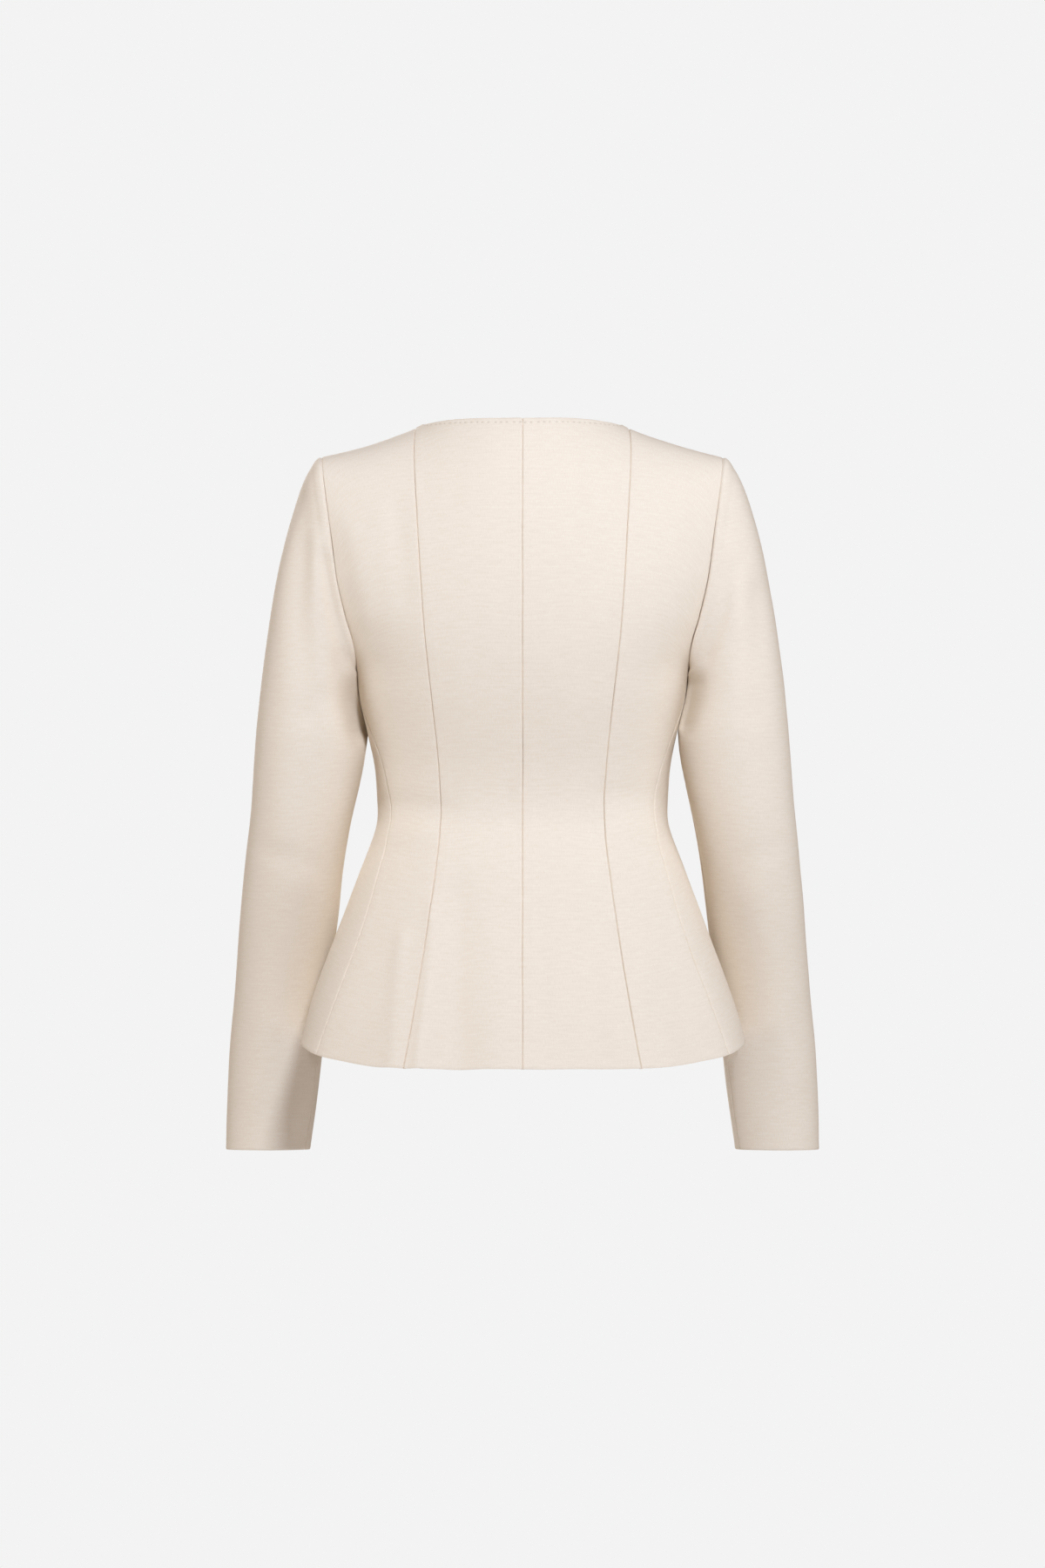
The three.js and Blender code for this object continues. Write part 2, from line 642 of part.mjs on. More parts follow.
// The lapping front is the wearer's right one, which is the mirrored side.
for (const [side, mirrored] of [
  ["left", false],
  ["right", true],
]) {
  add(`back_${side}`, wall(...backPanel(), mirrored), cloth());
  add(`side_back_${side}`, wall(...sideBackPanel(), mirrored), cloth());
  add(`side_front_${side}`, wall(...sideFrontPanel(), mirrored), cloth());
  add(`front_${side}`, wall(...frontPanel(mirrored ? lift : null), mirrored), cloth());
  const { back, front } = SLEEVE_SEAMS;
  add(`top_sleeve_${side}`, wall(...sleevePanel(back, front + 360, COLUMNS.topSleeve), mirrored), cloth());
  add(`under_sleeve_${side}`, wall(...sleevePanel(front, back, COLUMNS.underSleeve), mirrored), cloth());
}

BUTTON_HEIGHTS.forEach((height, row) => {
  for (const [side, x] of [
    ["left", BUTTON_COLUMN],
    ["right", -BUTTON_COLUMN],
  ]) {
    const angle = angleAt(x, height, false);
    const normal = shellNormal(angle, height);
    const button = add(`button_${side}_${row + 1}`, buttonGeometry(), horn());
    button.position.copy(shell(angle, height)).addScaledVector(normal, LAP_LIFT + BUTTON_SEAT);
    button.quaternion.setFromUnitVectors(new THREE.Vector3(0, 0, 1), normal);
  }
});

export default jacket;
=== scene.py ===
"""The looks of a fitted double-breasted jacket: crepe panels, set-in sleeves, buttons and hand stitches."""

import math

import bmesh
import bpy
import numpy as np
from mathutils import Matrix, Vector


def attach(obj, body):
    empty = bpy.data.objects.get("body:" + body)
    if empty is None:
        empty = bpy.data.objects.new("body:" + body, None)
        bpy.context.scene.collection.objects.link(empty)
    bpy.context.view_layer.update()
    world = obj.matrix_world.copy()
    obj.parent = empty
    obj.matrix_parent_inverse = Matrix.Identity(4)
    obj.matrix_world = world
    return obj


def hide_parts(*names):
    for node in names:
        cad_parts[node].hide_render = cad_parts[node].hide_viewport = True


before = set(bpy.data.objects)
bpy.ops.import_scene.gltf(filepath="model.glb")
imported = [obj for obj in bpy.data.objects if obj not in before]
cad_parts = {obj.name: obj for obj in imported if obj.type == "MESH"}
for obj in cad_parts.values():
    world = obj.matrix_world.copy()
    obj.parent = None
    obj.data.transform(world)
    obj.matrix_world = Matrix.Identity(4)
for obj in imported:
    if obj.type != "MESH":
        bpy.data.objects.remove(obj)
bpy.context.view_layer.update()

bl_info = {
    "name": "Fitted double-breasted jacket",
    "version": (1, 0, 0),
    "blender": (4, 5, 0),
    "location": "3D View > Sidebar > Jacket",
    "description": "Cuts and sews the cloth of a collarless jacket over its packed solids",
    "category": "Object",
}

MM = 0.001
BODY = "root"
SIDES = (("left", 1), ("right", -1))


def table(names, *rows):
    """Columns by name, from rows of numbers."""
    return {name: np.array([row[i] for row in rows], float) for i, name in enumerate(names.split())}


UNDERARM = -222
UPPER_SPAN = 200
SHOULDER = UNDERARM + UPPER_SPAN
WAIST = -361
SQUARENESS = 2.35

# The body's rings from the hem up. Above the underarm the width is the spread of the stations.
RINGS = table(
    "height half_width back front side",
    (-579, 210.5, 151, -166, 9),
    (-528, 196, 134, -152, 6),
    (-484, 180, 118, -139, 2),
    (-440, 162.5, 101, -126, -4),
    (-408, 150, 88, -117, -10),
    (-378, 138.5, 75, -110, -15),
    (-361, 134.3, 69, -107.5, -17),
    (-340, 134.6, 67.5, -108, -18),
    (-312, 136.6, 71, -114, -18),
    (-281, 142.6, 78.5, -125, -17),
    (-250, 149.8, 86.5, -133.5, -15),
    (UNDERARM, 155, 92, -131, -14),
    (-202, 164, 95, -126, -14),
    (-182, 174.5, 97, -120, -14),
    (-152, 185.5, 99, -112, -14),
    (-102, 191, 99, -100, -14),
    (SHOULDER, 193, 99, -80, -14),
)

SHOULDER_LINE = table(
    "x z back_handle front_handle front_drop",
    (0, 40, 100, 66, 30),
    (30, 36, 96, 64, 28),
    (60, 22, 87, 60, 20),
    (96, -0.8, 76, 55, 10),
    (112, -7.2, 74, 54, 8),
    (144, -18, 72, 54, 6),
    (184, -28.8, 70, 54, 5),
    (194, -31.5, 70, 54, 5),
)
BACK_DROP = 4
NECK_POINT_X = 92
# Over this distance the back's top edge turns from the neckline into the shoulder seam
NECK_TURN = 2.5
SHOULDER_POINT_X = 184

BACK_NECK = table("x z", (0, 2), (48, 2.8), (64, 2.6), (80, 1.6), (NECK_POINT_X, 0.6))

HEM = table(
    "angle height",
    (0, -577.5),
    (35, -577.5),
    (50, -573.5),
    (62, -569.5),
    (71, -566),
    (78, -564),
    (90, -563),
    (120, -567),
    (150, -570),
    (180, -571),
)

# How far each princess seam lies from the centre plane
PRINCESS = table(
    "height back front",
    (-579, 105, 113),
    (-546, 99, 106),
    (-504, 92, 97.5),
    (-456, 84.8, 88),
    (-408, 78.5, 79.5),
    (-376, 75, 75),
    (-345, 74.4, 74),
    (-312, 75.8, 76.5),
    (-272, 79.5, 82),
    (UNDERARM, 85, 87.5),
    (-182, 89.5, 90.5),
    (-122, 95, 94.5),
    (-72, 98.5, 97),
    (SHOULDER, 98, 98),
)

# The side seam by its angle from the centre back
SIDE_SEAM = table(
    "height angle",
    (-579, 61),
    (-512, 57),
    (-452, 56),
    (-400, 58.5),
    (-361, 61.5),
    (-328, 64),
    (-300, 69.5),
    (-270, 78.5),
    (-245, 86),
    (UNDERARM, 90),
)

# The armhole from the underarm up: its rise and its angle off the side
ARMHOLE = table(
    "step rise back front",
    (0, 0, 0, 0),
    (0.08, 0.012, 10, 10),
    (0.17, 0.05, 18, 18),
    (0.27, 0.12, 23, 24),
    (0.36, 0.2, 25, 27),
    (0.47, 0.3, 26.3, 29.2),
    (0.57, 0.4, 26.3, 29.5),
    (0.66, 0.5, 25.5, 28),
    (0.79, 0.65, 23, 25),
    (0.9, 0.8, 20.7, 22),
    (1, 1, 0, 0),
)

# The fronts: how far they lap past the centre, where the neckline breaks and how it curves up from there, and
# how high the upper one is lifted, from how far off its seam and over which share of its width
FRONT_LAP = 58
BREAK = -214
NECK_CURVE = (0, 0.3, 0.93, 1)
LAP_LIFT = 2.7
LAP_START = 1
LAP_FADE = 0.85

# The soft flutes of the skirt, one between each two seams
FLUTE_DEPTH = 4
FLUTE_TOP = -385

# The left sleeve's rings below the cap
SLEEVE_RINGS = table(
    "ring outer_x outer_z inner_x inner_z middle_y half_depth",
    (0, 241.7, -246, 148.4, -258, -7, 53),
    (1, 244.6, -273, 143.8, -280, -8, 52.5),
    (2, 246.6, -298, 145.3, -303, -10, 51.5),
    (3, 248.8, -326, 150.6, -330, -13, 50.5),
    (4, 251.5, -358, 158.4, -364, -18, 49.5),
    (5, 257, -404, 166.6, -410, -29, 48.5),
    (6, 263, -454, 172.4, -458, -45, 47.5),
    (7, 269.8, -523, 181.8, -526, -70, 46),
    (8, 276.8, -586, 190, -588, -91, 44),
    (9, 280.3, -634, 196, -635, -103, 42.5),
    (10, 281.8, -675, 202, -675, -111, 41),
)
LAST_RING = 10
CUFF_TILT = 0.075
SLEEVE_SEAMS = table("ring back front", (0, 4, -50), (4, 4, -50), (8, 20, -50), (LAST_RING, 24, -50))
# The cap, from its inner side to its outer one: how far its line droops and follows the body's cloth, and how
# long its handles are at both ends, the last one with a bend in its growth
CAP = {
    "droop": (82, 20),
    "start": (5, 26),
    "end": (12, 96),
    "follow": (0, 0.35),
}
CAP_BEND = 1.4

# Where the sleeve leaves the body's side, how closely it is set in, and how closely and softly it is pressed to
# the side above that
PARTING = -286
PARTING_FADE = 12
CONTACT_FADE = 6
CAP_GAP = 0.1
PRESS_GAP = 0.15
PRESS_REACH = 9

BUTTON_COLUMN = 39
BUTTON_HEIGHTS = (-242, -304, -366)
BUTTON_SEAT = 0.8

# Soft creases and ridges of the worn cloth, each a stroke seen square on from behind or in front.
# x is signed, width is the stroke's reach to each side, and depth is inwards where it is negative.
CREASES = table(
    "sleeve back x1 z1 x2 z2 width depth",
    # left sleeve from behind
    (1, 1, 203, -70, 198, -262, 13, -3.9),
    (1, 1, 188, -110, 181, -232, 10, 3.0),
    (1, 1, 178, -128, 164, -210, 6, -3.9),
    (1, 1, 232, -388, 190, -404, 10, -1.2),
    (1, 1, 206, -424, 250, -610, 22, 2.7),
    (1, 1, 222, -300, 214, -372, 16, 1.5),
    # right sleeve from behind
    (1, 1, -190, -116, -199, -180, 12, 1.8),
    (1, 1, -192, -136, -166, -212, 7, -2.6),
    (1, 1, -213, -156, -214, -262, 12, -3.0),
    (1, 1, -230, -386, -203, -398, 10, -1.0),
    (1, 1, -214, -440, -252, -600, 20, 1.8),
    # sleeves from the front
    (1, 0, 202, -84, 196, -236, 13, -3.0),
    (1, 0, 184, -150, 204, -240, 8, -2.4),
    (1, 0, 170, -268, 226, -330, 9, -2.7),
    (1, 0, 176, -352, 244, -392, 9, -3.6),
    (1, 0, 186, -398, 240, -424, 7, -2.4),
    (1, 0, -204, -96, -199, -250, 13, -3.3),
    (1, 0, -182, -164, -206, -226, 8, -2.2),
    (1, 0, -172, -284, -230, -344, 9, -3.0),
    (1, 0, -178, -366, -246, -402, 9, -3.3),
    (1, 0, -190, -412, -236, -440, 7, -2.0),
    # back, waist and skirt
    (0, 1, 112, -84, 107, -158, 11, -2.0),
    (0, 1, 156, -96, 140, -172, 11, 2.2),
    (0, 1, 130, -346, 74, -350, 11, -2.5),
    (0, 1, 116, -374, 92, -372, 10, 2.2),
    (0, 1, 9, -338, 11, -358, 6, -0.8),
    (0, 1, -80, -338, -124, -341, 14, -1.7),
    (0, 1, -92, -369, -118, -368, 9, 1.4),
    (0, 1, 107, -470, 117, -576, 8, 2.7),
    (0, 1, 80, -440, 91, -578, 5.5, 2.4),
    (0, 1, 58, -430, 58, -580, 13, -3.7),
    (0, 1, 24, -470, 22, -580, 15, 1.7),
    (0, 1, -17, -450, -20, -578, 8, -1.4),
    (0, 1, -10, -444, -10, -500, 4, 0.8),
    (0, 1, -62, -470, -71, -580, 14, -1.7),
    (0, 1, -112, -480, -132, -576, 12, 1.5),
    # front, from the bust to the hem
    (0, 0, 118, -176, 142, -214, 9, -2.4),
    (0, 0, -120, -182, -144, -222, 9, -2.2),
    (0, 0, 124, -332, 82, -346, 10, -1.9),
    (0, 0, -128, -338, -78, -344, 11, -2.2),
    (0, 0, 92, -452, 103, -574, 12, -2.2),
    (0, 0, -90, -440, -104, -574, 13, -2.5),
    (0, 0, 128, -470, 150, -570, 14, 2.0),
    (0, 0, -131, -462, -152, -570, 14, 1.9),
    (0, 0, -30, -500, -34, -576, 16, 1.4),
)

# The deep fold of each sleeve beside the body, behind the underarm: it sinks straight in, away from the back,
# to a share of its depth at its start. It fades out towards the armhole seam and the front.
FOLDS = table(
    "side x1 z1 x2 z2 width depth start",
    (1, 160, -224, 146, -276, 11, 30, 0.15),
    (-1, 157, -238, 148, -272, 8, 12, 0.8),
)
FOLD_END = 1.3
FOLD_FROM_SEAM = 14
FOLD_FRONT = -30
FOLD_FRONT_FADE = 22

# Columns and rows of the cloth's grids, each stretch of rows with its length, and how far inside the cloth's
# edges, in millimetres, extra ones lie
BODY_COLUMNS = {"back": 56, "side_back": 30, "side_front": 34, "front": 50}
SLEEVE_COLUMNS = {"top_sleeve": 76, "under_sleeve": 24}
ROWS = {"skirt": (54, 216), "bodice": (38, 139), "upper": (64, 205), "tube": (120, 424)}
EDGE_STEPS = (0.28, 0.55, 0.9, 1.5, 2.6, 4.2)
# Even rows start this share of the last step further in
EDGE_GAP = 0.6

# The cap's rows crowd towards the armhole, and the first ones lie close to it
CAP_ROWS = 44
CAP_CROWDING = 1.25
CAP_FIRST_ROWS = (0.004, 0.011)


def fractions(stretch, close_at_start, close_at_end):
    """Even fractions of a stretch, with extra ones close to the ends that are edges of the cloth."""
    rows, length = ROWS[stretch]
    near = np.array(EDGE_STEPS) / length
    even = np.linspace(0, 1, rows + 1)
    extra = [near] * close_at_start + [1 - near] * close_at_end
    clear = near[-1] + EDGE_GAP * near[-1]
    if close_at_start:
        even = even[(even == 0) | (even > clear)]
    if close_at_end:
        even = even[(even == 1) | (even < 1 - clear)]
    return np.unique(np.concatenate([even, *extra]))


SKIRT_ROWS = fractions("skirt", True, False)
BODICE_ROWS = fractions("bodice", False, False)
UPPER_ROWS = fractions("upper", False, True)
HEM_FOLLOW = np.concatenate([1 - SKIRT_ROWS, np.zeros(len(BODICE_ROWS) + len(UPPER_ROWS) - 2)])
UNDERARM_ROW = len(SKIRT_ROWS) + len(BODICE_ROWS) - 2

# How finely lines are sampled and searched, and half the steps over which normals are measured: round the
# body and up it, and round a sleeve and along it
ARMHOLE_SAMPLES = 1201
BODY_SAMPLES = 17
SLEEVE_SAMPLES = 33
HEM_PASSES = 4
HALVINGS = 40
BODY_PROBE = (0.2, 0.4)
SLEEVE_PROBE = (0.5, 0.01)

# So near to the shoulder seam no normal is measured, and so near it is level from front to back
NEAR_SHOULDER = 0.5
AT_SHOULDER = 0.01


def smooth(keys, values):
    """A column of a table as a smooth function of its first one, held level past both ends."""
    last = len(keys) - 1
    before = np.maximum(np.arange(last + 1) - 1, 0)
    after = np.minimum(np.arange(last + 1) + 1, last)
    slopes = (values[after] - values[before]) / (keys[after] - keys[before])

    def at(where):
        x = np.clip(np.asarray(where, float), keys[0], keys[last])
        i = np.clip(np.searchsorted(keys, x, side="right") - 1, 0, last - 1)
        step = keys[i + 1] - keys[i]
        t = (x - keys[i]) / step
        t2, t3 = t * t, t * t * t
        return (
            values[i] * (2 * t3 - 3 * t2 + 1)
            + values[i + 1] * (3 * t2 - 2 * t3)
            + step * (slopes[i] * (t3 - 2 * t2 + t) + slopes[i + 1] * (t3 - t2))
        )

    return at


def smooth_columns(columns):
    keys, *others = columns.values()
    return [smooth(keys, values) for values in others]


def mix(a, b, t):
    return a + (b - a) * t


def ease(t):
    t = np.clip(t, 0, 1)
    return t * t * (3 - 2 * t)


def power(value, exponent):
    return np.sign(value) * np.abs(value) ** exponent


def bezier(a, b, c, d, t):
    s = 1 - t
    return a * s**3 + 3 * b * s * s * t + 3 * c * s * t * t + d * t**3


def unit(vectors):
    return vectors / np.maximum(np.linalg.norm(vectors, axis=-1, keepdims=True), 1e-9)


def arc(points, axis):
    """Lengths along a line of points, or along a grid's rows or columns, from the first one on."""
    steps = np.linalg.norm(np.diff(points, axis=axis), axis=-1)
    zero = np.zeros_like(np.take(steps, [0], axis=axis))
    return np.cumsum(np.concatenate([zero, steps], axis=axis), axis=axis)


half_width, back_depth, front_depth, side_depth = smooth_columns(RINGS)
ridge_height, back_handle, front_handle, front_drop = smooth_columns(SHOULDER_LINE)
back_seam, front_seam = smooth_columns(PRINCESS)
neck_height, hem_height, side_seam = (smooth_columns(line)[0] for line in (BACK_NECK, HEM, SIDE_SEAM))


def angle_at(x, height, on_back):
    """Degrees round the body from the centre back, over the wearer's left side, at a distance x across."""
    share = np.clip(power(x / half_width(height), SQUARENESS / 2), -1, 1)
    angle = np.degrees(np.arcsin(share))
    return angle if on_back else 180 - angle


SHOULDER_ANGLE = 90 - angle_at(SHOULDER_POINT_X, SHOULDER, True)
ARMHOLE["back"][-1] = ARMHOLE["front"][-1] = SHOULDER_ANGLE
armhole_rise, armhole_back, armhole_front = smooth_columns(ARMHOLE)


def flute_at(angle, height):
    """Depth of the skirt's soft flutes, which lie between the seams."""
    seams = [
        np.zeros_like(height),
        angle_at(back_seam(height), height, True),
        side_seam(height),
        angle_at(front_seam(height), height, False),
    ]
    down = np.clip((FLUTE_TOP - height) / (FLUTE_TOP - hem_height(angle)), 0, 1)
    depth = np.zeros_like(height)
    for low, high in zip(seams, seams[1:]):
        across = (angle - low) / (high - low)
        here = (across >= 0) & (across <= 1)
        depth = np.where(here, FLUTE_DEPTH * down * (1 - np.cos(2 * np.pi * across)) / 2, depth)
    return depth


def ring_point(angle, height):
    s, c = np.sin(np.radians(angle)), np.cos(np.radians(angle))
    side = side_depth(height)
    depth = np.where(c > 0, back_depth(height) - side, side - front_depth(height))
    x = half_width(height) * power(s, 2 / SQUARENESS)
    y = depth * power(c, 2 / SQUARENESS)
    flute = np.where(height < FLUTE_TOP, flute_at(angle, height), 0)
    inward = 1 - flute / np.hypot(x, y)
    return np.stack([x * inward, side + y * inward, height], -1)


def shell(angle, height):
    """The body's outer face at an angle and a height on the height scale."""
    angle, height = np.broadcast_arrays(np.asarray(angle, float), np.asarray(height, float))
    lower = ring_point(angle, np.minimum(height, UNDERARM))
    level = np.full_like(height, UNDERARM)
    rise = np.clip((height - UNDERARM) / UPPER_SPAN, 0, None)
    on_back = np.cos(np.radians(angle)) > 0
    base = ring_point(angle, level)[..., 1]
    slope = (ring_point(angle, level + 1)[..., 1] - ring_point(angle, level - 1)[..., 1]) / 2
    x = half_width(height) * power(np.sin(np.radians(angle)), 2 / SQUARENESS)
    off = np.abs(x)
    ridge = ridge_height(off)
    handle = np.where(on_back, back_handle(off), -front_handle(off))
    drop = np.where(on_back, BACK_DROP, front_drop(off))
    third = UPPER_SPAN / 3
    y = bezier(base, base + slope * third, handle, 0, rise)
    z = bezier(UNDERARM, UNDERARM + third, ridge - drop, ridge, rise)
    upper = np.stack([x, y, z], -1)
    return np.where((height <= UNDERARM)[..., None], lower, upper)


def shell_normal(angle, height):
    angle, height = np.broadcast_arrays(np.asarray(angle, float), np.asarray(height, float))
    near = np.minimum(height, SHOULDER - NEAR_SHOULDER)
    turn, rise = BODY_PROBE
    along = shell(angle + turn, near) - shell(angle - turn, near)
    up = shell(angle, near + rise) - shell(angle, near - rise)
    normal = unit(np.cross(up, along))
    flat = unit(normal * [1, 0, 1])
    return np.where((height >= SHOULDER - AT_SHOULDER)[..., None], flat, normal)


def lower_heights(hem):
    return np.concatenate([mix(hem, WAIST, SKIRT_ROWS), mix(WAIST, UNDERARM, BODICE_ROWS[1:])])


def hem_crossing(angle_of, start):
    """The height at which an edge, given by its angle at a height, meets the hem."""
    hem = float(hem_height(start))
    for _ in range(HEM_PASSES):
        hem = float(hem_height(angle_of(hem)))
    return hem


def edge_at_x(x_of, on_back, top):
    """An edge given by its distance from the centre plane: heights, distances and angles, row by row."""
    hem = hem_crossing(lambda h: angle_at(x_of(h), h, on_back), 0 if on_back else 180)
    height = np.concatenate([lower_heights(hem), mix(UNDERARM, top, UPPER_ROWS[1:])])
    x = np.array([float(x_of(h)) for h in height])
    return {"height": height, "x": x, "angle": angle_at(x, height, on_back)}


def armhole_place(on_back, step):
    angle = 90 - armhole_back(step) if on_back else 90 + armhole_front(step)
    return {"height": UNDERARM + UPPER_SPAN * armhole_rise(step), "angle": angle}


def armhole_edge(on_back, shares):
    """The armhole at shares of its length, from the underarm to the shoulder point."""
    steps = np.linspace(0, 1, ARMHOLE_SAMPLES)
    length = arc(shell(**armhole_place(on_back, steps)), 0)
    return armhole_place(on_back, np.interp(shares * length[-1], length, steps))


def side_edge(on_back):
    lower = lower_heights(hem_crossing(side_seam, 60))
    upper = armhole_edge(on_back, UPPER_ROWS)
    return {
        "height": np.concatenate([lower, upper["height"][1:]]),
        "angle": np.concatenate([side_seam(lower), upper["angle"][1:]]),
    }


def neck_level(x):
    """The height on the height scale where the back neckline crosses a distance from the centre."""
    x = np.asarray(x, float)
    low = np.full_like(x, UNDERARM)
    high = np.full_like(x, SHOULDER)
    for _ in range(HALVINGS):
        middle = (low + high) / 2
        below = shell(angle_at(x, middle, True), middle)[..., 2] < neck_height(x)
        low = np.where(below, middle, low)
        high = np.where(below, high, middle)
    return low


def front_edge_x(height):
    climb = np.clip((height - BREAK) / (SHOULDER - BREAK), 0, 1)
    return mix(-FRONT_LAP, NECK_POINT_X, bezier(*NECK_CURVE, climb))


def row_widths(points):
    return np.linalg.norm(np.diff(points, axis=1), axis=2).sum(1)


def row_shares(widths, columns):
    """Shares across each row, with extra columns close to both edges, where the seams turn in."""
    edge = np.array((0,) + EDGE_STEPS)[None, :] / widths[:, None]
    inner = np.linspace(0, 1, columns + 1)[None, 1:-1]
    first, last = edge[:, -1:], 1 - edge[:, -1:]
    between = first + (last - first) * inner
    return np.concatenate([edge, between, 1 - edge[:, ::-1]], axis=1)


def body_grid(left, right, columns, by_x=False, shape=None):
    """Angles and heights of a body panel, row by row, between its two edges."""
    rows = len(left["height"])
    on_back = left["angle"][0] < 90

    def place(t):
        bent = t if shape is None else shape(t)
        height = mix(left["height"][:, None], right["height"][:, None], bent)
        # The hem keeps its own curve between the two edges, and the rows over it follow less and less.
        angle = mix(left["angle"][0], right["angle"][0], t[:1])
        rise = hem_height(angle) - mix(left["height"][0], right["height"][0], t[:1])
        height = height + rise * HEM_FOLLOW[:, None]
        if by_x:
            x = mix(left["x"][:, None], right["x"][:, None], t)
            return angle_at(x, height, on_back), height
        return mix(left["angle"][:, None], right["angle"][:, None], t), height

    coarse = np.repeat(np.linspace(0, 1, BODY_SAMPLES)[None, :], rows, 0)
    widths = row_widths(shell(*place(coarse)))
    return place(row_shares(np.maximum(widths, 4 * EDGE_STEPS[-1]), columns))


def back_angles():
    centre = edge_at_x(lambda h: 0 * h, True, float(neck_level(0)))
    princess = edge_at_x(back_seam, True, SHOULDER)
    last = len(centre["height"]) - 1
    rise = np.concatenate([np.zeros(UNDERARM_ROW), UPPER_ROWS])[:, None]
    top = centre["height"][last]

    def shape(t):
        x = princess["x"][last] * t[last]
        # Past the neck point the panel's top edge is a short piece of the shoulder seam.
        turned = ease((x - NECK_POINT_X + NECK_TURN) / NECK_TURN)
        run = mix(neck_level(np.minimum(x, NECK_POINT_X)), SHOULDER, turned)
        bent = (run - top) / (SHOULDER - top)
        return mix(t, bent[None, :], rise)

    return body_grid(centre, princess, BODY_COLUMNS["back"], by_x=True, shape=shape)


def side_back_angles():
    return body_grid(edge_at_x(back_seam, True, SHOULDER), side_edge(True), BODY_COLUMNS["side_back"])


def side_front_angles():
    return body_grid(side_edge(False), edge_at_x(front_seam, False, SHOULDER), BODY_COLUMNS["side_front"])


def front_angles():
    princess = edge_at_x(front_seam, False, SHOULDER)
    free = edge_at_x(front_edge_x, False, SHOULDER)
    return body_grid(princess, free, BODY_COLUMNS["front"], by_x=True)


# The sleeve. Turns run from the inner side (0) over the back (90) and the outer side (180).
outer_x, outer_z, inner_x, inner_z, middle_y, half_depth = smooth_columns(SLEEVE_RINGS)
sleeve_seam = dict(zip(("back", "front"), smooth_columns(SLEEVE_SEAMS)))


def tube_point(turn, ring):
    c, s = np.cos(np.radians(turn)), np.sin(np.radians(turn))
    away = (1 - c) / 2
    tilt = CUFF_TILT * ease(ring - LAST_RING + 1) * half_depth(ring) * s
    x = mix(inner_x(ring), outer_x(ring), away)
    y = middle_y(ring) + half_depth(ring) * s
    z = mix(inner_z(ring), outer_z(ring), away) + tilt
    return np.stack([x, y, z], -1)


ARMHOLE_STEPS = 72
LOOP_SHARES = np.linspace(0, 1, ARMHOLE_STEPS + 1)
LOOPS = {on_back: armhole_edge(on_back, LOOP_SHARES) for on_back in (True, False)}


def armhole_at(turn):
    """The armhole's point, and the way the cloth would run on past it."""
    wrapped = np.mod(turn, 360)
    point = np.zeros(wrapped.shape + (3,))
    past = np.zeros_like(point)
    for on_back in (True, False):
        here = wrapped <= 180 if on_back else wrapped > 180
        loop = LOOPS[on_back]
        along = (wrapped if on_back else 360 - wrapped) / 180 * ARMHOLE_STEPS
        along = np.clip(along, 0, ARMHOLE_STEPS)
        i = np.minimum(np.floor(along).astype(int), ARMHOLE_STEPS - 1)
        t = along - i
        angle = mix(loop["angle"][i], loop["angle"][i + 1], t)
        height = mix(loop["height"][i], loop["height"][i + 1], t)
        before, after = (shell(loop["angle"][k], loop["height"][k]) for k in (i, i + 1))
        normal = shell_normal(angle, height)
        way = unit(np.cross(normal, after - before if on_back else before - after))
        point = np.where(here[..., None], shell(angle, height), point)
        past = np.where(here[..., None], way, past)
    return point, past


def cap_point(turn, t):
    """A point of the sleeve's cap, from the armhole (0) to the first full ring (1)."""
    point, past = armhole_at(turn)
    away = (1 - np.cos(np.radians(turn))) / 2
    at = {name: mix(low, high, away) for name, (low, high) in CAP.items() if name != "end"}
    droop = np.radians(at["droop"])
    way = np.stack([np.cos(droop), 0 * droop, -np.sin(droop)], -1) * (1 - at["follow"])[..., None]
    way = unit(way + past * at["follow"][..., None])
    start = point + past * CAP_GAP
    end = tube_point(turn, 0 * turn)
    down = unit(tube_point(turn, 0 * turn + 0.2) - end)
    reach = mix(CAP["end"][0], CAP["end"][1], away**CAP_BEND)
    first = start + way * at["start"][..., None]
    second = end - down * reach[..., None]
    return bezier(start, first, second, end, t[..., None])


def body_side_x(y, z):
    """How far out the body's side wall stands at a depth and a height."""
    side = side_depth(z)
    depth = np.where(y > side, back_depth(z) - side, side - front_depth(z))
    across = np.clip(np.abs(y - side) / depth, 0, 1)
    return half_width(z) * (1 - across**SQUARENESS) ** (1 / SQUARENESS)


def pressed(points):
    """The under arm lies flat against the body's side, from the armhole to where the two part."""
    x, y, z = (points[..., i] for i in range(3))
    contact = ease((UNDERARM - z) / CONTACT_FADE) * ease((z - PARTING) / PARTING_FADE)
    wanted = body_side_x(y, z) + PRESS_GAP
    gap = np.maximum(x - wanted, 0)
    closed = wanted + gap * ease(gap / PRESS_REACH)
    return np.stack([mix(x, closed, contact), y, z], -1)


def sleeve_point(turn, along):
    turn, along = np.broadcast_arrays(np.asarray(turn, float), np.asarray(along, float))
    cap = cap_point(turn, np.clip(along, 0, 1))
    tube = tube_point(turn, np.clip(along - 1, 0, LAST_RING))
    return pressed(np.where((along < 1)[..., None], cap, tube))


def sleeve_normal(turn, along):
    turn_by, ring_by = SLEEVE_PROBE
    at = np.clip(along, 2 * ring_by, LAST_RING + 1 - 2 * ring_by)
    across = sleeve_point(turn + turn_by, at) - sleeve_point(turn - turn_by, at)
    up = sleeve_point(turn, at - ring_by) - sleeve_point(turn, at + ring_by)
    return unit(np.cross(up, across))


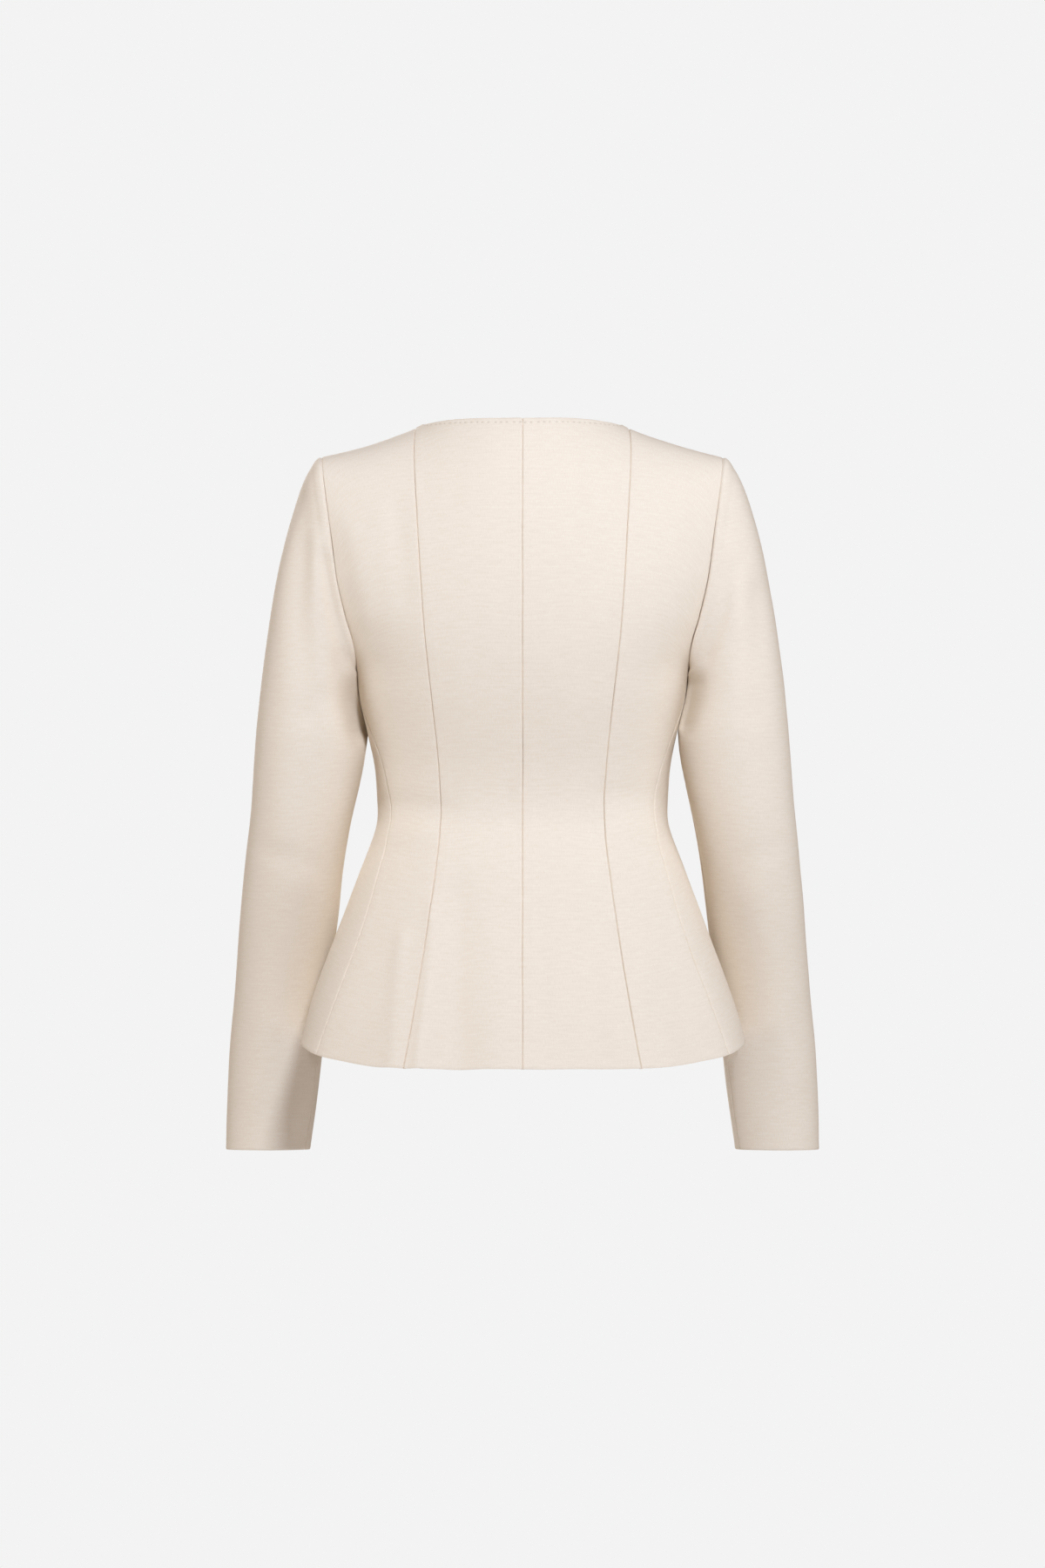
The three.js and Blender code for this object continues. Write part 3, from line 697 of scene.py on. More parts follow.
def sleeve_grid(first, last, columns):
    """Turns and stations of a sleeve piece between two seams, from the cuff up to the armhole."""
    cap = (np.arange(CAP_ROWS + 1) / CAP_ROWS) ** CAP_CROWDING
    cap = np.insert(cap, 1, CAP_FIRST_ROWS)
    tube = 1 + LAST_RING * fractions("tube", False, True)[1:]
    along = np.concatenate([cap, tube])[::-1]
    from_turn, to_turn = (sleeve_seam[name](along - 1)[:, None] + turns for name, turns in (first, last))
    coarse = mix(from_turn, to_turn, np.linspace(0, 1, SLEEVE_SAMPLES)[None, :])
    shares = row_shares(row_widths(sleeve_point(coarse, along[:, None])), columns)
    return mix(from_turn, to_turn, shares), np.repeat(along[:, None], shares.shape[1], 1)


# How a stroke wavers to each side and swells along its run, how softly it runs out past its ends, by a share
# of its width and a length, and how fast it fades where the cloth is turned away
STROKE = {
    "waver": 1.4,
    "waver_pace": 0.045,
    "waver_shift": 1.7,
    "swell": 0.2,
    "swell_pace": 0.03,
    "tail_share": 0.9,
    "tail": 4,
    "facing": 0.35,
    "turned": 0.1,
}

# The waves of the cloth's slow unevenness: how high, how fast along each axis, and their share of the seed
DRAPE = table(
    "height x y z seed",
    (0.22, 0.058, 0, 0.021, 1),
    (0.18, 0.031, 0.02, -0.047, 2.1),
    (0.10, 0.11, 0, 0.083, 0.7),
)
# The seed of each part's first piece, and half of what the two sides differ by
SEEDS = {"body": (0, 2.3), "sleeve": (7, 1.9)}

# A pressed-open seam: half the width of its line, how proud it stands over its allowances and from where to
# where, and the pucker of its stitches
SEAM = {"line": 0.42, "proud": 0.18, "rise": 2.6, "allowance": 8.5, "fall": 4}
PUCKER = {"height": 0.08, "reach": 5, "pace": 0.55, "drift": 1.3, "drift_pace": 0.09}
# A turned and pressed edge, rounded over and a little proud where the turned-in cloth lies under it
TURNED_EDGE = {"round": 0.35, "reach": 0.9, "proud": 0.12, "proud_at": 2.6, "proud_reach": 2.0}
# The sleeve's head stands up over the allowances that are turned into it, but not under the arm
CAP_ROLL = {"height": 1.1, "rise": 2.5, "crest": 3, "fall": 12, "under": -0.75, "under_fade": 0.5}

# The share of a seam's depth that each kind of seam takes: the centre back one lies nearly straight and opens
# less than the curved ones, and the armhole isn't pressed open
TURN_IN = {"seam": 1, "side": 1, "centre": 0.7, "cap": 0.3}
ARMHOLE_FADE_ROWS = 4
EDGES = ("start", "end", "bottom", "top")


def on_stroke(x, z, row):
    """How far points seen square on lie along a stroke, across it and beyond its ends, and its length."""
    run = np.array([row["x2"] - row["x1"], row["z2"] - row["z1"]])
    length = np.hypot(*run)
    way = run / length
    off = np.stack([x - row["x1"], z - row["z1"]], -1)
    along, across = off @ way, off @ np.array([-way[1], way[0]])
    return along, across, np.maximum(np.maximum(-along, along - length), 0), length


def rows_of(columns):
    return [dict(zip(columns, row)) for row in zip(*columns.values())]


def strokes(points, normals, on_sleeve):
    """How far the creases and ridges move each point out along its normal."""
    moved = np.zeros(points.shape[:-1])
    for i, row in enumerate(rows_of(CREASES)):
        if bool(row["sleeve"]) != on_sleeve:
            continue
        along, across, beyond, _ = on_stroke(points[..., 0], points[..., 2], row)
        across = across + STROKE["waver"] * np.sin(along * STROKE["waver_pace"] + i * STROKE["waver_shift"])
        tail = np.exp(-((beyond / (STROKE["tail_share"] * row["width"] + STROKE["tail"])) ** 2))
        swell = 1 - STROKE["swell"] * (1 - np.sin(along * STROKE["swell_pace"] + i))
        facing = normals[..., 1] if row["back"] else -normals[..., 1]
        seen = ease(facing / STROKE["facing"] + STROKE["turned"])
        moved += row["depth"] * np.exp(-((across / row["width"]) ** 2)) * tail * swell * seen
    return moved


def underarm_folds(points, away):
    """How far the folds behind the underarm sink each point of a sleeve, which stays sewn at the armhole."""
    sunk = np.zeros(points.shape[:-1])
    for row in rows_of(FOLDS):
        along, across, beyond, length = on_stroke(row["side"] * points[..., 0], points[..., 2], row)
        reach = (across / row["width"]) ** 2 + (beyond / (FOLD_END * row["width"])) ** 2
        sunk += row["depth"] * mix(row["start"], 1, ease(along / length)) * np.exp(-reach)
    behind = ease((points[..., 1] - FOLD_FRONT) / FOLD_FRONT_FADE)
    return sunk * behind * ease(away / FOLD_FROM_SEAM)


def clear_of_body(points):
    """Keeps the cloth of a sleeve outside the body's side, below the underarm."""
    x, y, z = (points[..., i] for i in range(3))
    wanted = body_side_x(y, z) + PRESS_GAP
    push = np.maximum(wanted - np.abs(x), 0) * ease((UNDERARM - z) / CONTACT_FADE)
    return np.stack([x + np.sign(x) * push, y, z], -1)


def drape(points, seed):
    """A slow unevenness of a few tenths of a millimetre, so that no panel is machine smooth."""
    paces = np.stack([DRAPE["x"], DRAPE["y"], DRAPE["z"]])
    return np.sin(points @ paces + DRAPE["seed"] * seed) @ DRAPE["height"]


def seed_of(part, number, sign):
    first, spread = SEEDS[part]
    return first + number + spread * sign


def seam_relief(distance, along, seed, share):
    """A seam: the cloth turns in sharply at the line and lies a little proud over its allowances."""
    turn_in = share * sizes().seam_depth / MM * np.exp(-((distance / SEAM["line"]) ** 2))
    fall = ease((distance - SEAM["allowance"]) / SEAM["fall"])
    proud = SEAM["proud"] * ease(distance / SEAM["rise"]) * (1 - fall)
    wave = np.sin(along * PUCKER["pace"] + PUCKER["drift"] * np.sin(along * PUCKER["drift_pace"] + seed))
    return proud - turn_in + PUCKER["height"] * np.exp(-((distance / PUCKER["reach"]) ** 2)) * wave


def turned_relief(distance):
    sunk = TURNED_EDGE["round"] * np.exp(-((distance / TURNED_EDGE["reach"]) ** 2))
    off = (distance - TURNED_EDGE["proud_at"]) / TURNED_EDGE["proud_reach"]
    return TURNED_EDGE["proud"] * np.exp(-(off**2)) - sunk


def cap_relief(distance, normals):
    over = ease((normals[..., 2] - CAP_ROLL["under"]) / CAP_ROLL["under_fade"])
    fall = ease((distance - CAP_ROLL["crest"]) / CAP_ROLL["fall"])
    return CAP_ROLL["height"] * over * ease(distance / CAP_ROLL["rise"]) * (1 - fall)


def relief_for(points, normals, seams, lengths, on_sleeve, seed):
    """All that moves a piece's points along their normals: creases, unevenness, seams and turned edges."""
    moved = strokes(points, normals, on_sleeve) + drape(points, seed)
    across, up = lengths
    distances = (across, across[:, -1:] - across, up, up[-1:] - up)
    for edge, kind, distance in zip(EDGES, seams, distances):
        if kind == "free":
            moved += turned_relief(distance)
            continue
        share = TURN_IN[kind]
        if kind == "side":
            # The side seam runs on into the armhole.
            above = np.arange(len(points))[:, None] - UNDERARM_ROW
            share = mix(share, TURN_IN["cap"], ease(above / ARMHOLE_FADE_ROWS))
        moved += seam_relief(distance, up if edge in ("start", "end") else across, seed, share)
        if kind == "cap":
            moved += cap_relief(distance, normals)
    return moved


def linear(code):
    """An sRGB hex colour as the linear colour that the shaders work in."""
    parts = [int(code[i : i + 2], 16) / 255 for i in (1, 3, 5)]
    return tuple(c / 12.92 if c <= 0.04045 else ((c + 0.055) / 1.055) ** 2.4 for c in parts) + (1.0,)


def length_property(name, description, millimetres):
    return bpy.props.FloatProperty(
        name=name, description=description, default=millimetres * MM, unit="LENGTH", precision=5
    )


def colour_property(name, description, code):
    return bpy.props.FloatVectorProperty(
        name=name, description=description, subtype="COLOR", size=4, min=0, max=1, default=linear(code)
    )


class JacketSizes(bpy.types.PropertyGroup):
    cloth: length_property("Cloth", "Thickness of the wool crepe", 1.5)
    seam_depth: length_property("Seam depth", "How far a seam line turns in", 1.35)
    edge_round: length_property("Edge rounding", "Rounding of turned edges", 0.3)
    stitch_pitch: length_property("Stitch spacing", "Spacing of the hand stitches", 5.7)
    stitch_inset: length_property("Stitch inset", "From the edge to the stitches", 5.2)
    button_radius: length_property("Button radius", "Radius of a button", 10.5)
    thread_radius: length_property("Thread radius", "Radius of the sewing thread", 0.28)


class JacketColours(bpy.types.PropertyGroup):
    crepe: colour_property("Crepe", "Wool crepe, as dyed", "#F0E5D4")
    # The deeper tone is painted shade, for the cloth between its ribs.
    crepe_shade: colour_property("Crepe, deep", "The same cloth between its ribs", "#E9DBC7")
    horn: colour_property("Button", "Polished horn", "#E4D5BD")
    horn_vein: colour_property("Button vein", "Darker grain of the horn", "#CDB795")
    thread: colour_property("Thread", "Silk sewing thread", "#D9C8AF")
    paper: colour_property("Backdrop", "Studio backdrop", "#F3F3F3")
    ambient: colour_property("Ambient", "Light that comes back off the studio's walls", "#FFD2B0")


def sizes():
    return bpy.context.scene.jacket_sizes


def colours():
    return bpy.context.scene.jacket_colours


def node(tree, kind, inputs=(), **settings):
    """Adds a node with its settings, and sets or links its inputs. A node as an input is its first output."""
    made = tree.nodes.new(kind)
    for name, value in settings.items():
        setattr(made, name, value)
    for name, value in dict(inputs).items():
        if isinstance(value, bpy.types.Node):
            tree.links.new(value.outputs[0], made.inputs[name])
        elif isinstance(value, bpy.types.NodeSocket):
            tree.links.new(value, made.inputs[name])
        else:
            made.inputs[name].default_value = value
    return made


def material_of(skin):
    """The material whose surface has the inputs that a skin's function gives. It is made once."""
    found = bpy.data.materials.get(skin.__name__)
    if found:
        return found
    material = bpy.data.materials.new(skin.__name__)
    material.use_nodes = True
    tree = material.node_tree
    tree.nodes.clear()
    surface = node(tree, "ShaderNodeBsdfPrincipled", skin(tree))
    node(tree, "ShaderNodeOutputMaterial", {"Surface": surface})
    return material


def cloth_noise(tree, uv, across_mm, along_mm, detail):
    """Noise whose grains are so many millimetres across and along the cloth."""
    scale = (1000 / across_mm, 1000 / along_mm, 1)
    place = node(tree, "ShaderNodeMapping", {"Vector": uv, "Scale": scale})
    grain = {"Vector": place, "Scale": 1, "Detail": detail, "Roughness": 0.55}
    return node(tree, "ShaderNodeTexNoise", grain)


# The dent of a hand stitch, in millimetres, and how much darker its bottom is painted, as painted shade
DENT = {"across": 1.7, "along": 2.1, "depth": 0.45, "painted_shade": 0.1}


def stitch_dents(tree):
    """How deep each place lies in the dent that a hand stitch pulls into the cloth, from 0 to 1."""
    place = node(tree, "ShaderNodeUVMap", uv_map="stitching")
    split = node(tree, "ShaderNodeSeparateXYZ", {"Vector": place}).outputs
    half_pitch = sizes().stitch_pitch / 2
    from_line = node(tree, "ShaderNodeMath", {0: split["X"], 1: sizes().stitch_inset}, operation="SUBTRACT")
    along = node(tree, "ShaderNodeMath", {0: split["Y"], 1: half_pitch}, operation="ADD")
    from_stitch = node(tree, "ShaderNodeMath", {0: along, 1: half_pitch}, operation="PINGPONG")
    flat = node(tree, "ShaderNodeCombineXYZ", {"X": from_line, "Y": from_stitch})
    shares = (1 / (DENT["across"] * MM), 1 / (DENT["along"] * MM), 0)
    dent = node(tree, "ShaderNodeVectorMath", {0: flat, 1: shares}, operation="MULTIPLY")
    reach = node(tree, "ShaderNodeVectorMath", {0: dent}, operation="LENGTH").outputs["Value"]
    inside = {"Value": reach, "From Min": 0, "From Max": 1, "To Min": 1, "To Max": 0}
    return node(tree, "ShaderNodeMapRange", inside, interpolation_type="SMOOTHSTEP")


def cream_wool_crepe(tree):
    """Wool crepe, piece-dyed cream: matt, finely ribbed across, with painted shade between its ribs and in its
    stitch dents, and a soft bloom of fibre ends.
    """
    uv = node(tree, "ShaderNodeUVMap", uv_map="cloth")
    # Crepe twist makes short broken ribs across the cloth, over threads about 0.4 mm apart. Those are too
    # fine to show, so the ribs are drawn 2 mm apart and the threads 0.9 mm apart.
    ribs = cloth_noise(tree, uv, 16, 2.0, 3)
    warp = cloth_noise(tree, uv, 0.9, 4.5, 2)
    grain = cloth_noise(tree, uv, 0.5, 0.5, 1)
    threads = node(tree, "ShaderNodeMath", {0: warp, 1: grain}, operation="ADD")
    weave = node(tree, "ShaderNodeMath", {0: ribs, 1: threads}, operation="ADD")
    spread = {"Value": weave, "From Min": 1.15, "From Max": 1.85, "To Min": 0, "To Max": 1}
    even = node(tree, "ShaderNodeMapRange", spread)
    dent = stitch_dents(tree)
    # The weave's low places, between the ribs, take the deeper tone. This is painted shade in the recesses of
    # the weave, so the colour named dyed is the dye plus painted rib shade.
    tones = {"Factor": even, 6: tuple(colours().crepe_shade), 7: tuple(colours().crepe)}
    dyed = node(tree, "ShaderNodeMix", tones, data_type="RGBA").outputs[2]
    cloud = cloth_noise(tree, uv, 110, 70, 2)
    uneven = {"Value": cloud, "From Min": 0.3, "From Max": 0.7, "To Min": 0.995, "To Max": 1.005}
    dye = node(tree, "ShaderNodeMapRange", uneven)
    # The bottom of each stitch dent is painted darker: painted shade in the dent, taken off the dye's random
    # unevenness.
    darker = node(tree, "ShaderNodeMath", {0: dent, 1: DENT["painted_shade"]}, operation="MULTIPLY")
    dye_less_painted_dent_shade = node(tree, "ShaderNodeMath", {0: dye, 1: darker}, operation="SUBTRACT")
    toned = node(tree, "ShaderNodeHueSaturation", {"Color": dyed, "Value": dye_less_painted_dent_shade})
    dented = {"Height": dent, "Strength": 1, "Distance": DENT["depth"] * MM}
    sunk = node(tree, "ShaderNodeBump", dented, invert=True)
    woven = {"Height": even, "Strength": 0.3, "Distance": 0.1 * MM, "Normal": sunk}
    return {
        "Base Color": toned,
        "Roughness": 0.85,
        "Specular IOR Level": 0.25,
        "Sheen Weight": 0.06,
        "Sheen Roughness": 0.45,
        "Sheen Tint": tuple(colours().crepe),
        "Normal": node(tree, "ShaderNodeBump", woven),
    }


def polished_horn(tree):
    """Light horn, cut and polished: cloudy, with faint darker veins and a soft gloss."""
    place = node(tree, "ShaderNodeTexCoord").outputs["Object"]
    turned = {"Vector": place, "Scale": (60, 60, 220), "Rotation": (0.3, 0.5, 0.2)}
    vein_at = node(tree, "ShaderNodeMapping", turned)
    vein = node(tree, "ShaderNodeTexNoise", {"Vector": vein_at, "Scale": 2.2, "Detail": 4, "Roughness": 0.6})
    spread = {"Value": vein, "From Min": 0.4, "From Max": 0.72, "To Min": 0, "To Max": 1}
    depth = node(tree, "ShaderNodeMapRange", spread)
    tones = {"Factor": depth, 6: tuple(colours().horn), 7: tuple(colours().horn_vein)}
    return {
        "Base Color": node(tree, "ShaderNodeMix", tones, data_type="RGBA").outputs[2],
        "Roughness": 0.32,
        "IOR": 1.54,
        "Subsurface Weight": 0.08,
        "Subsurface Radius": (1.2 * MM, 0.9 * MM, 0.6 * MM),
        "Normal": node(tree, "ShaderNodeBump", {"Height": depth, "Strength": 0.08, "Distance": 0.1 * MM}),
    }


def silk_thread(tree):
    """Silk thread, two plies twisted, a shade darker than the cloth with a little lustre."""
    place = node(tree, "ShaderNodeTexCoord").outputs["Object"]
    turned = {"Vector": place, "Scale": (900, 900, 900), "Rotation": (0, 0.7, 0)}
    twisted = {"Vector": node(tree, "ShaderNodeMapping", turned), "Scale": 1.2, "Distortion": 1.0}
    twist = node(tree, "ShaderNodeTexWave", twisted).outputs["Fac"]
    return {
        "Base Color": tuple(colours().thread),
        "Roughness": 0.5,
        "Sheen Weight": 0.15,
        "Normal": node(tree, "ShaderNodeBump", {"Height": twist, "Strength": 0.3, "Distance": 0.08 * MM}),
    }


def studio_paper(tree):
    """Matt studio paper, plain and pale."""
    return {"Base Color": tuple(colours().paper), "Roughness": 0.9}


def mesh_object(name, bm, skin=None):
    """Makes an object of the scene from a finished bmesh, in the material of a skin."""
    mesh = bpy.data.meshes.new(name)
    bm.to_mesh(mesh)
    bm.free()
    if skin:
        mesh.materials.append(material_of(skin))
    made = bpy.data.objects.new(name, mesh)
    bpy.context.scene.collection.objects.link(made)
    return made


# Where the stitching map of cloth without stitches lies
FAR_FROM_STITCHES = 900


def cloth_piece(name, points, maps):
    """A cloth piece from its grid of points, with lengths along the cloth, in millimetres, as its UV maps."""
    rows, columns = points.shape[:2]
    bm = bmesh.new()
    far = np.full((rows, columns), FAR_FROM_STITCHES)
    layers = [(bm.loops.layers.uv.new(kind), maps.get(kind, (far, far))) for kind in ("cloth", "stitching")]
    bmesh.ops.create_grid(bm, x_segments=columns - 1, y_segments=rows - 1, size=1)
    places = {}
    for vert in bm.verts:
        c = round((vert.co.x + 1) / 2 * (columns - 1))
        r = round((vert.co.y + 1) / 2 * (rows - 1))
        places[vert] = (r, c)
    for face in bm.faces:
        face.smooth = True
        for loop in face.loops:
            place = places[loop.vert]
            for layer, (across, up) in layers:
                loop[layer].uv = (across[place] * MM, up[place] * MM)
    for vert, place in places.items():
        vert.co = Vector(points[place]) * MM
    piece = mesh_object(name, bm, cream_wool_crepe)
    wall = piece.modifiers.new("wall", "SOLIDIFY")
    wall.thickness = sizes().cloth
    wall.offset = -1
    rounding = piece.modifiers.new("edges", "BEVEL")
    rounding.width = sizes().edge_round
    rounding.segments = 2
    rounding.limit_method = "ANGLE"
    rounding.angle_limit = math.radians(50)
    rounding.harden_normals = False
    return piece


def finish_cloth(piece, kind, side):
    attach(piece, BODY)
    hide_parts(f"{kind}_{side}")


# Lines of hand stitches, gathered while the pieces that they lie on are cut, and half the length of a stitch
# and how far it is sunk in
SEWING_LINES = []
STITCH_HALF = 0.95
STITCH_SUNK = 0.08
# No hand sews quite evenly: how far the stitches wander along their line, how fast, and from where
UNEVEN = table("reach pace shift", (0.5, 0.31, 0), (0.3, 0.73, 1))


def sewing_line(points, normals, distances, edge):
    """Gathers the line of hand stitches inside an edge, and gives each point's phase along it."""
    if edge == "top":
        points, normals, distances = points.swapaxes(0, 1), normals.swapaxes(0, 1), distances.T
    inset = sizes().stitch_inset / MM

    def on_line(values):
        rows = zip(distances[:, ::-1], values[:, ::-1])
        return np.array([[np.interp(inset, away, row[:, k]) for k in range(3)] for away, row in rows])

    path, ways = on_line(points), on_line(normals)
    run = arc(path, 0)
    phase = run + sum(row["reach"] * np.sin(run * row["pace"] + row["shift"]) for row in rows_of(UNEVEN))
    SEWING_LINES.append({"run": run, "phase": phase, "path": path, "ways": ways})
    return phase[None, :] if edge == "top" else phase[:, None]


def line_point(line, run):
    path = line["path"] - STITCH_SUNK * line["ways"]
    return Vector([np.interp(run, line["run"], path[:, k]) for k in range(3)]) * MM


# Each piece's grid, the kinds of its edges in the order of EDGES, and the pieces that it is sewn to
BODY_PIECES = {
    "back": (back_angles, ("centre", "seam", "free", "free"), ("side_back",)),
    "side_back": (side_back_angles, ("seam", "side", "free", "seam"), ("back",)),
    "side_front": (side_front_angles, ("side", "seam", "free", "seam"), ("side_back",)),
    "front": (front_angles, ("seam", "free", "free", "seam"), ("side_front",)),
}
SEWN_EDGES = {"back": "top", "front": "end"}
SLEEVE_PIECES = {"top_sleeve": (("back", 0), ("front", 360)), "under_sleeve": (("front", 0), ("back", 0))}
SLEEVE_EDGES = ("seam", "seam", "free", "cap")


def lap_lift(x, height):
    """The right front rises off its princess seam and is clear of the left one by that one's edge."""
    seam = front_seam(height)
    return LAP_LIFT * ease((seam - LAP_START - x) / (LAP_FADE * (seam - FRONT_LAP)))


def cut_pair(kind, number, base, normals, seams, lift=0):
    """Cuts a piece for both sides, mirrored, the right one lifted, shapes each and attaches it to the body in
    place of its solid.
    """
    part = "sleeve" if kind in SLEEVE_PIECES else "body"
    across, up = lengths = arc(base, 1), arc(base, 0)
    from_middle = across - across[:, [across.shape[1] // 2]]
    for side, sign in SIDES:
        ways = normals * (sign, 1, 1)
        points = (base + normals * lift if side == "right" else base) * (sign, 1, 1)
        moved = relief_for(points, ways, seams, lengths, part == "sleeve", seed_of(part, number, sign))
        points = points + ways * moved[..., None]
        if part == "sleeve":
            points[..., 1] -= underarm_folds(points, up[-1:] - up)
            points = clear_of_body(points)
        order = slice(None, None, -sign)
        maps = {"cloth": (from_middle[:, order], up[:, order])}
        if kind in SEWN_EDGES:
            edge = SEWN_EDGES[kind]
            away = up[-1:] - up if edge == "top" else across[:, -1:] - across
            phase = np.broadcast_to(sewing_line(points, ways, away, edge), away.shape)
            maps["stitching"] = (away[:, order], phase[:, order])
        piece = cloth_piece(f"{kind}_{side}_cloth", points[:, order], maps)
        finish_cloth(piece, kind, side)


class JACKET_OT_body(bpy.types.Operator):
    """Cut the eight panels of the body and shape them on their solids"""

    bl_idname = "jacket.body"
    bl_label = "Body panels"

    def execute(self, context):
        for number, (kind, (angles, seams, beside)) in enumerate(BODY_PIECES.items()):
            angle, height = angles()
            base = shell(angle, height)
            lift = lap_lift(base[..., 0], height)[..., None] if kind == "front" else 0
            cut_pair(kind, number, base, shell_normal(angle, height), seams, lift)
        return {"FINISHED"}


class JACKET_OT_sleeves(bpy.types.Operator):
    """Cut the two pieces of each sleeve and set them into the armholes"""

    bl_idname = "jacket.sleeves"
    bl_label = "Sleeves"

    def execute(self, context):
        for number, (kind, (first, last)) in enumerate(SLEEVE_PIECES.items()):
            turn, along = sleeve_grid(first, last, SLEEVE_COLUMNS[kind])
            base, normals = sleeve_point(turn, along), sleeve_normal(turn, along)
            cut_pair(kind, number, base, normals, SLEEVE_EDGES)
        return {"FINISHED"}


RIGHT_FRONT_SEED = seed_of("body", list(BODY_PIECES).index("front"), -1)


def on_front(x, height):
    """A point of the lapped right front with its creases, in metres, and the way that it faces."""
    angle = angle_at(abs(x), height, False)
    point, normal = (form(angle, height) * [np.sign(x), 1, 1] for form in (shell, shell_normal))
    lift = LAP_LIFT + strokes(point, normal, False) + drape(point, RIGHT_FRONT_SEED)
    return Vector(point + normal * lift) * MM, Vector(normal)


def standing_on(point, normal, lift):
    """A matrix that seats a shape, made with +Z outwards and +Y up, on the cloth."""
    up = Vector((0, 0, 1))
    up = (up - normal * up.dot(normal)).normalized()
    side = up.cross(normal)
    turn = Matrix((side, up, normal)).transposed().to_4x4()
    return Matrix.Translation(point + normal * lift) @ turn


def new_piece(name, bm, skin):
    for face in bm.faces:
        face.smooth = True
    piece = mesh_object(name, bm, skin)
    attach(piece, BODY)
    return piece


def stitch(bm, start, end, radius, segments=6, rings=5):
    """A stitch of thread that swells between the two points where it goes into the cloth."""
    start, end = Vector(start), Vector(end)
    way = end - start
    turn = way.to_track_quat("Z", "Y").to_matrix().to_4x4()
    swell = Matrix.Diagonal((radius, radius, way.length / 2, 1))
    place = Matrix.Translation((start + end) / 2) @ turn @ swell
    bmesh.ops.create_uvsphere(bm, u_segments=segments, v_segments=rings, radius=1, matrix=place)


def rod(bm, radius, length, place):
    ends = {"radius1": radius * MM, "radius2": radius * MM}
    bmesh.ops.create_cone(bm, cap_ends=True, segments=16, depth=length * MM, matrix=place, **ends)


BUTTON_PROFILE = table(
    "radius height",
    (0.0, 2.85),
    (7.0, 2.85),
    (8.0, 3.1),
    (8.6, 3.9),
    (9.1, 4.5),
    (9.8, 4.9),
    (10.4, 4.4),
    (10.5, 3.4),
    (10.1, 2.2),
    (8.6, 1.5),
    (0.0, 1.5),
)
BUTTON_TURNS = 56

# Its flat face ends at this radius and has four drilled holes
BUTTON_FACE = 7.0
HOLES = {"radius": 1.05, "offset": 2.3, "middle": 2.5, "depth": 4}

# Its thread: the ties over the face from hole to hole, the shank, and the winding round the shank
TIES = {"height": 2.85, "apart": 0.35, "past": 0.4, "swell": 1.3}
SHANK = {"radius": 2.1, "length": 3.0, "middle": 0.3}
WINDING = {"radius": 2.2, "thread": 0.27, "turns": 6, "low": -1.0, "high": 1.4, "steps": 14}


def horn_button(name, place):
    """A turned button with a raised rim and four drilled holes."""
    bm = bmesh.new()
    scale = sizes().button_radius / float(BUTTON_PROFILE["radius"].max())
    ring = [bm.verts.new((r * scale, 0, h * MM)) for r, h in zip(*BUTTON_PROFILE.values())]
    edges = [bm.edges.new(pair) for pair in zip(ring, ring[1:])]
    turned = {"cent": (0, 0, 0), "axis": (0, 0, 1), "angle": 2 * math.pi, "steps": BUTTON_TURNS}
    bmesh.ops.spin(bm, geom=ring + edges, use_merge=True, **turned)
    bmesh.ops.remove_doubles(bm, verts=bm.verts, dist=1e-6)
    bmesh.ops.recalc_face_normals(bm, faces=bm.faces)
    bm.transform(place)
    button = new_piece(name, bm, polished_horn)
    holes = bmesh.new()
    for quarter in range(4):
        way = math.radians(45 + 90 * quarter)
        centre = Vector((math.cos(way) * HOLES["offset"], math.sin(way) * HOLES["offset"], HOLES["middle"]))
        rod(holes, HOLES["radius"], HOLES["depth"], place @ Matrix.Translation(centre * MM))
    drill = mesh_object("drill", holes)
    cut = button.modifiers.new("holes", "BOOLEAN")
    cut.object = drill
    cut.operation = "DIFFERENCE"
    cut.solver = "EXACT"
    bpy.context.view_layer.update()
    done = bpy.data.meshes.new_from_object(button.evaluated_get(bpy.context.evaluated_depsgraph_get()))
    axis = place.to_3x3() @ Vector((0, 0, 1))
    for face in done.polygons:
        from_middle = face.center - place.translation
        face.use_smooth = (from_middle - axis * from_middle.dot(axis)).length > BUTTON_FACE * scale
    button.modifiers.clear()
    button.data = done
    bpy.data.objects.remove(drill)
    return button


def wind_shank(bm):
    """Winds thread round a button's shank, along +Z."""
    low, high = WINDING["low"] * MM, WINDING["high"] * MM
    steps = WINDING["steps"] * WINDING["turns"]
    place = Matrix.Translation((WINDING["radius"] * MM, 0, low)) @ Matrix.Rotation(math.pi / 2, 4, "X")
    ring = bmesh.ops.create_circle(bm, segments=6, radius=WINDING["thread"] * MM, matrix=place)["verts"]
    edges = {edge for vert in ring for edge in vert.link_edges}
    wound = {"cent": (0, 0, 0), "axis": (0, 0, 1), "angle": 2 * math.pi * WINDING["turns"], "steps": steps}
    bmesh.ops.spin(bm, geom=ring + list(edges), dvec=(0, 0, (high - low) / steps), **wound)
    bmesh.ops.holes_fill(bm, edges=bm.edges, sides=6)
    bmesh.ops.recalc_face_normals(bm, faces=bm.faces)


def button_thread(name, place):
    """Thread sewn through a button's holes, with its wound shank."""
    bm = bmesh.new()
    offset = HOLES["offset"] / math.sqrt(2)
    reach = offset + TIES["past"]
    for across in (-offset, offset):
        for slip in (-TIES["apart"], TIES["apart"]):
            ends = [Vector((across + slip, way * reach, TIES["height"])) * MM for way in (-1, 1)]
            stitch(bm, *ends, TIES["swell"] * sizes().thread_radius)
    wind_shank(bm)
    rod(bm, SHANK["radius"], SHANK["length"], Matrix.Translation((0, 0, SHANK["middle"] * MM)))
    bm.transform(place)
    return new_piece(name, bm, silk_thread)


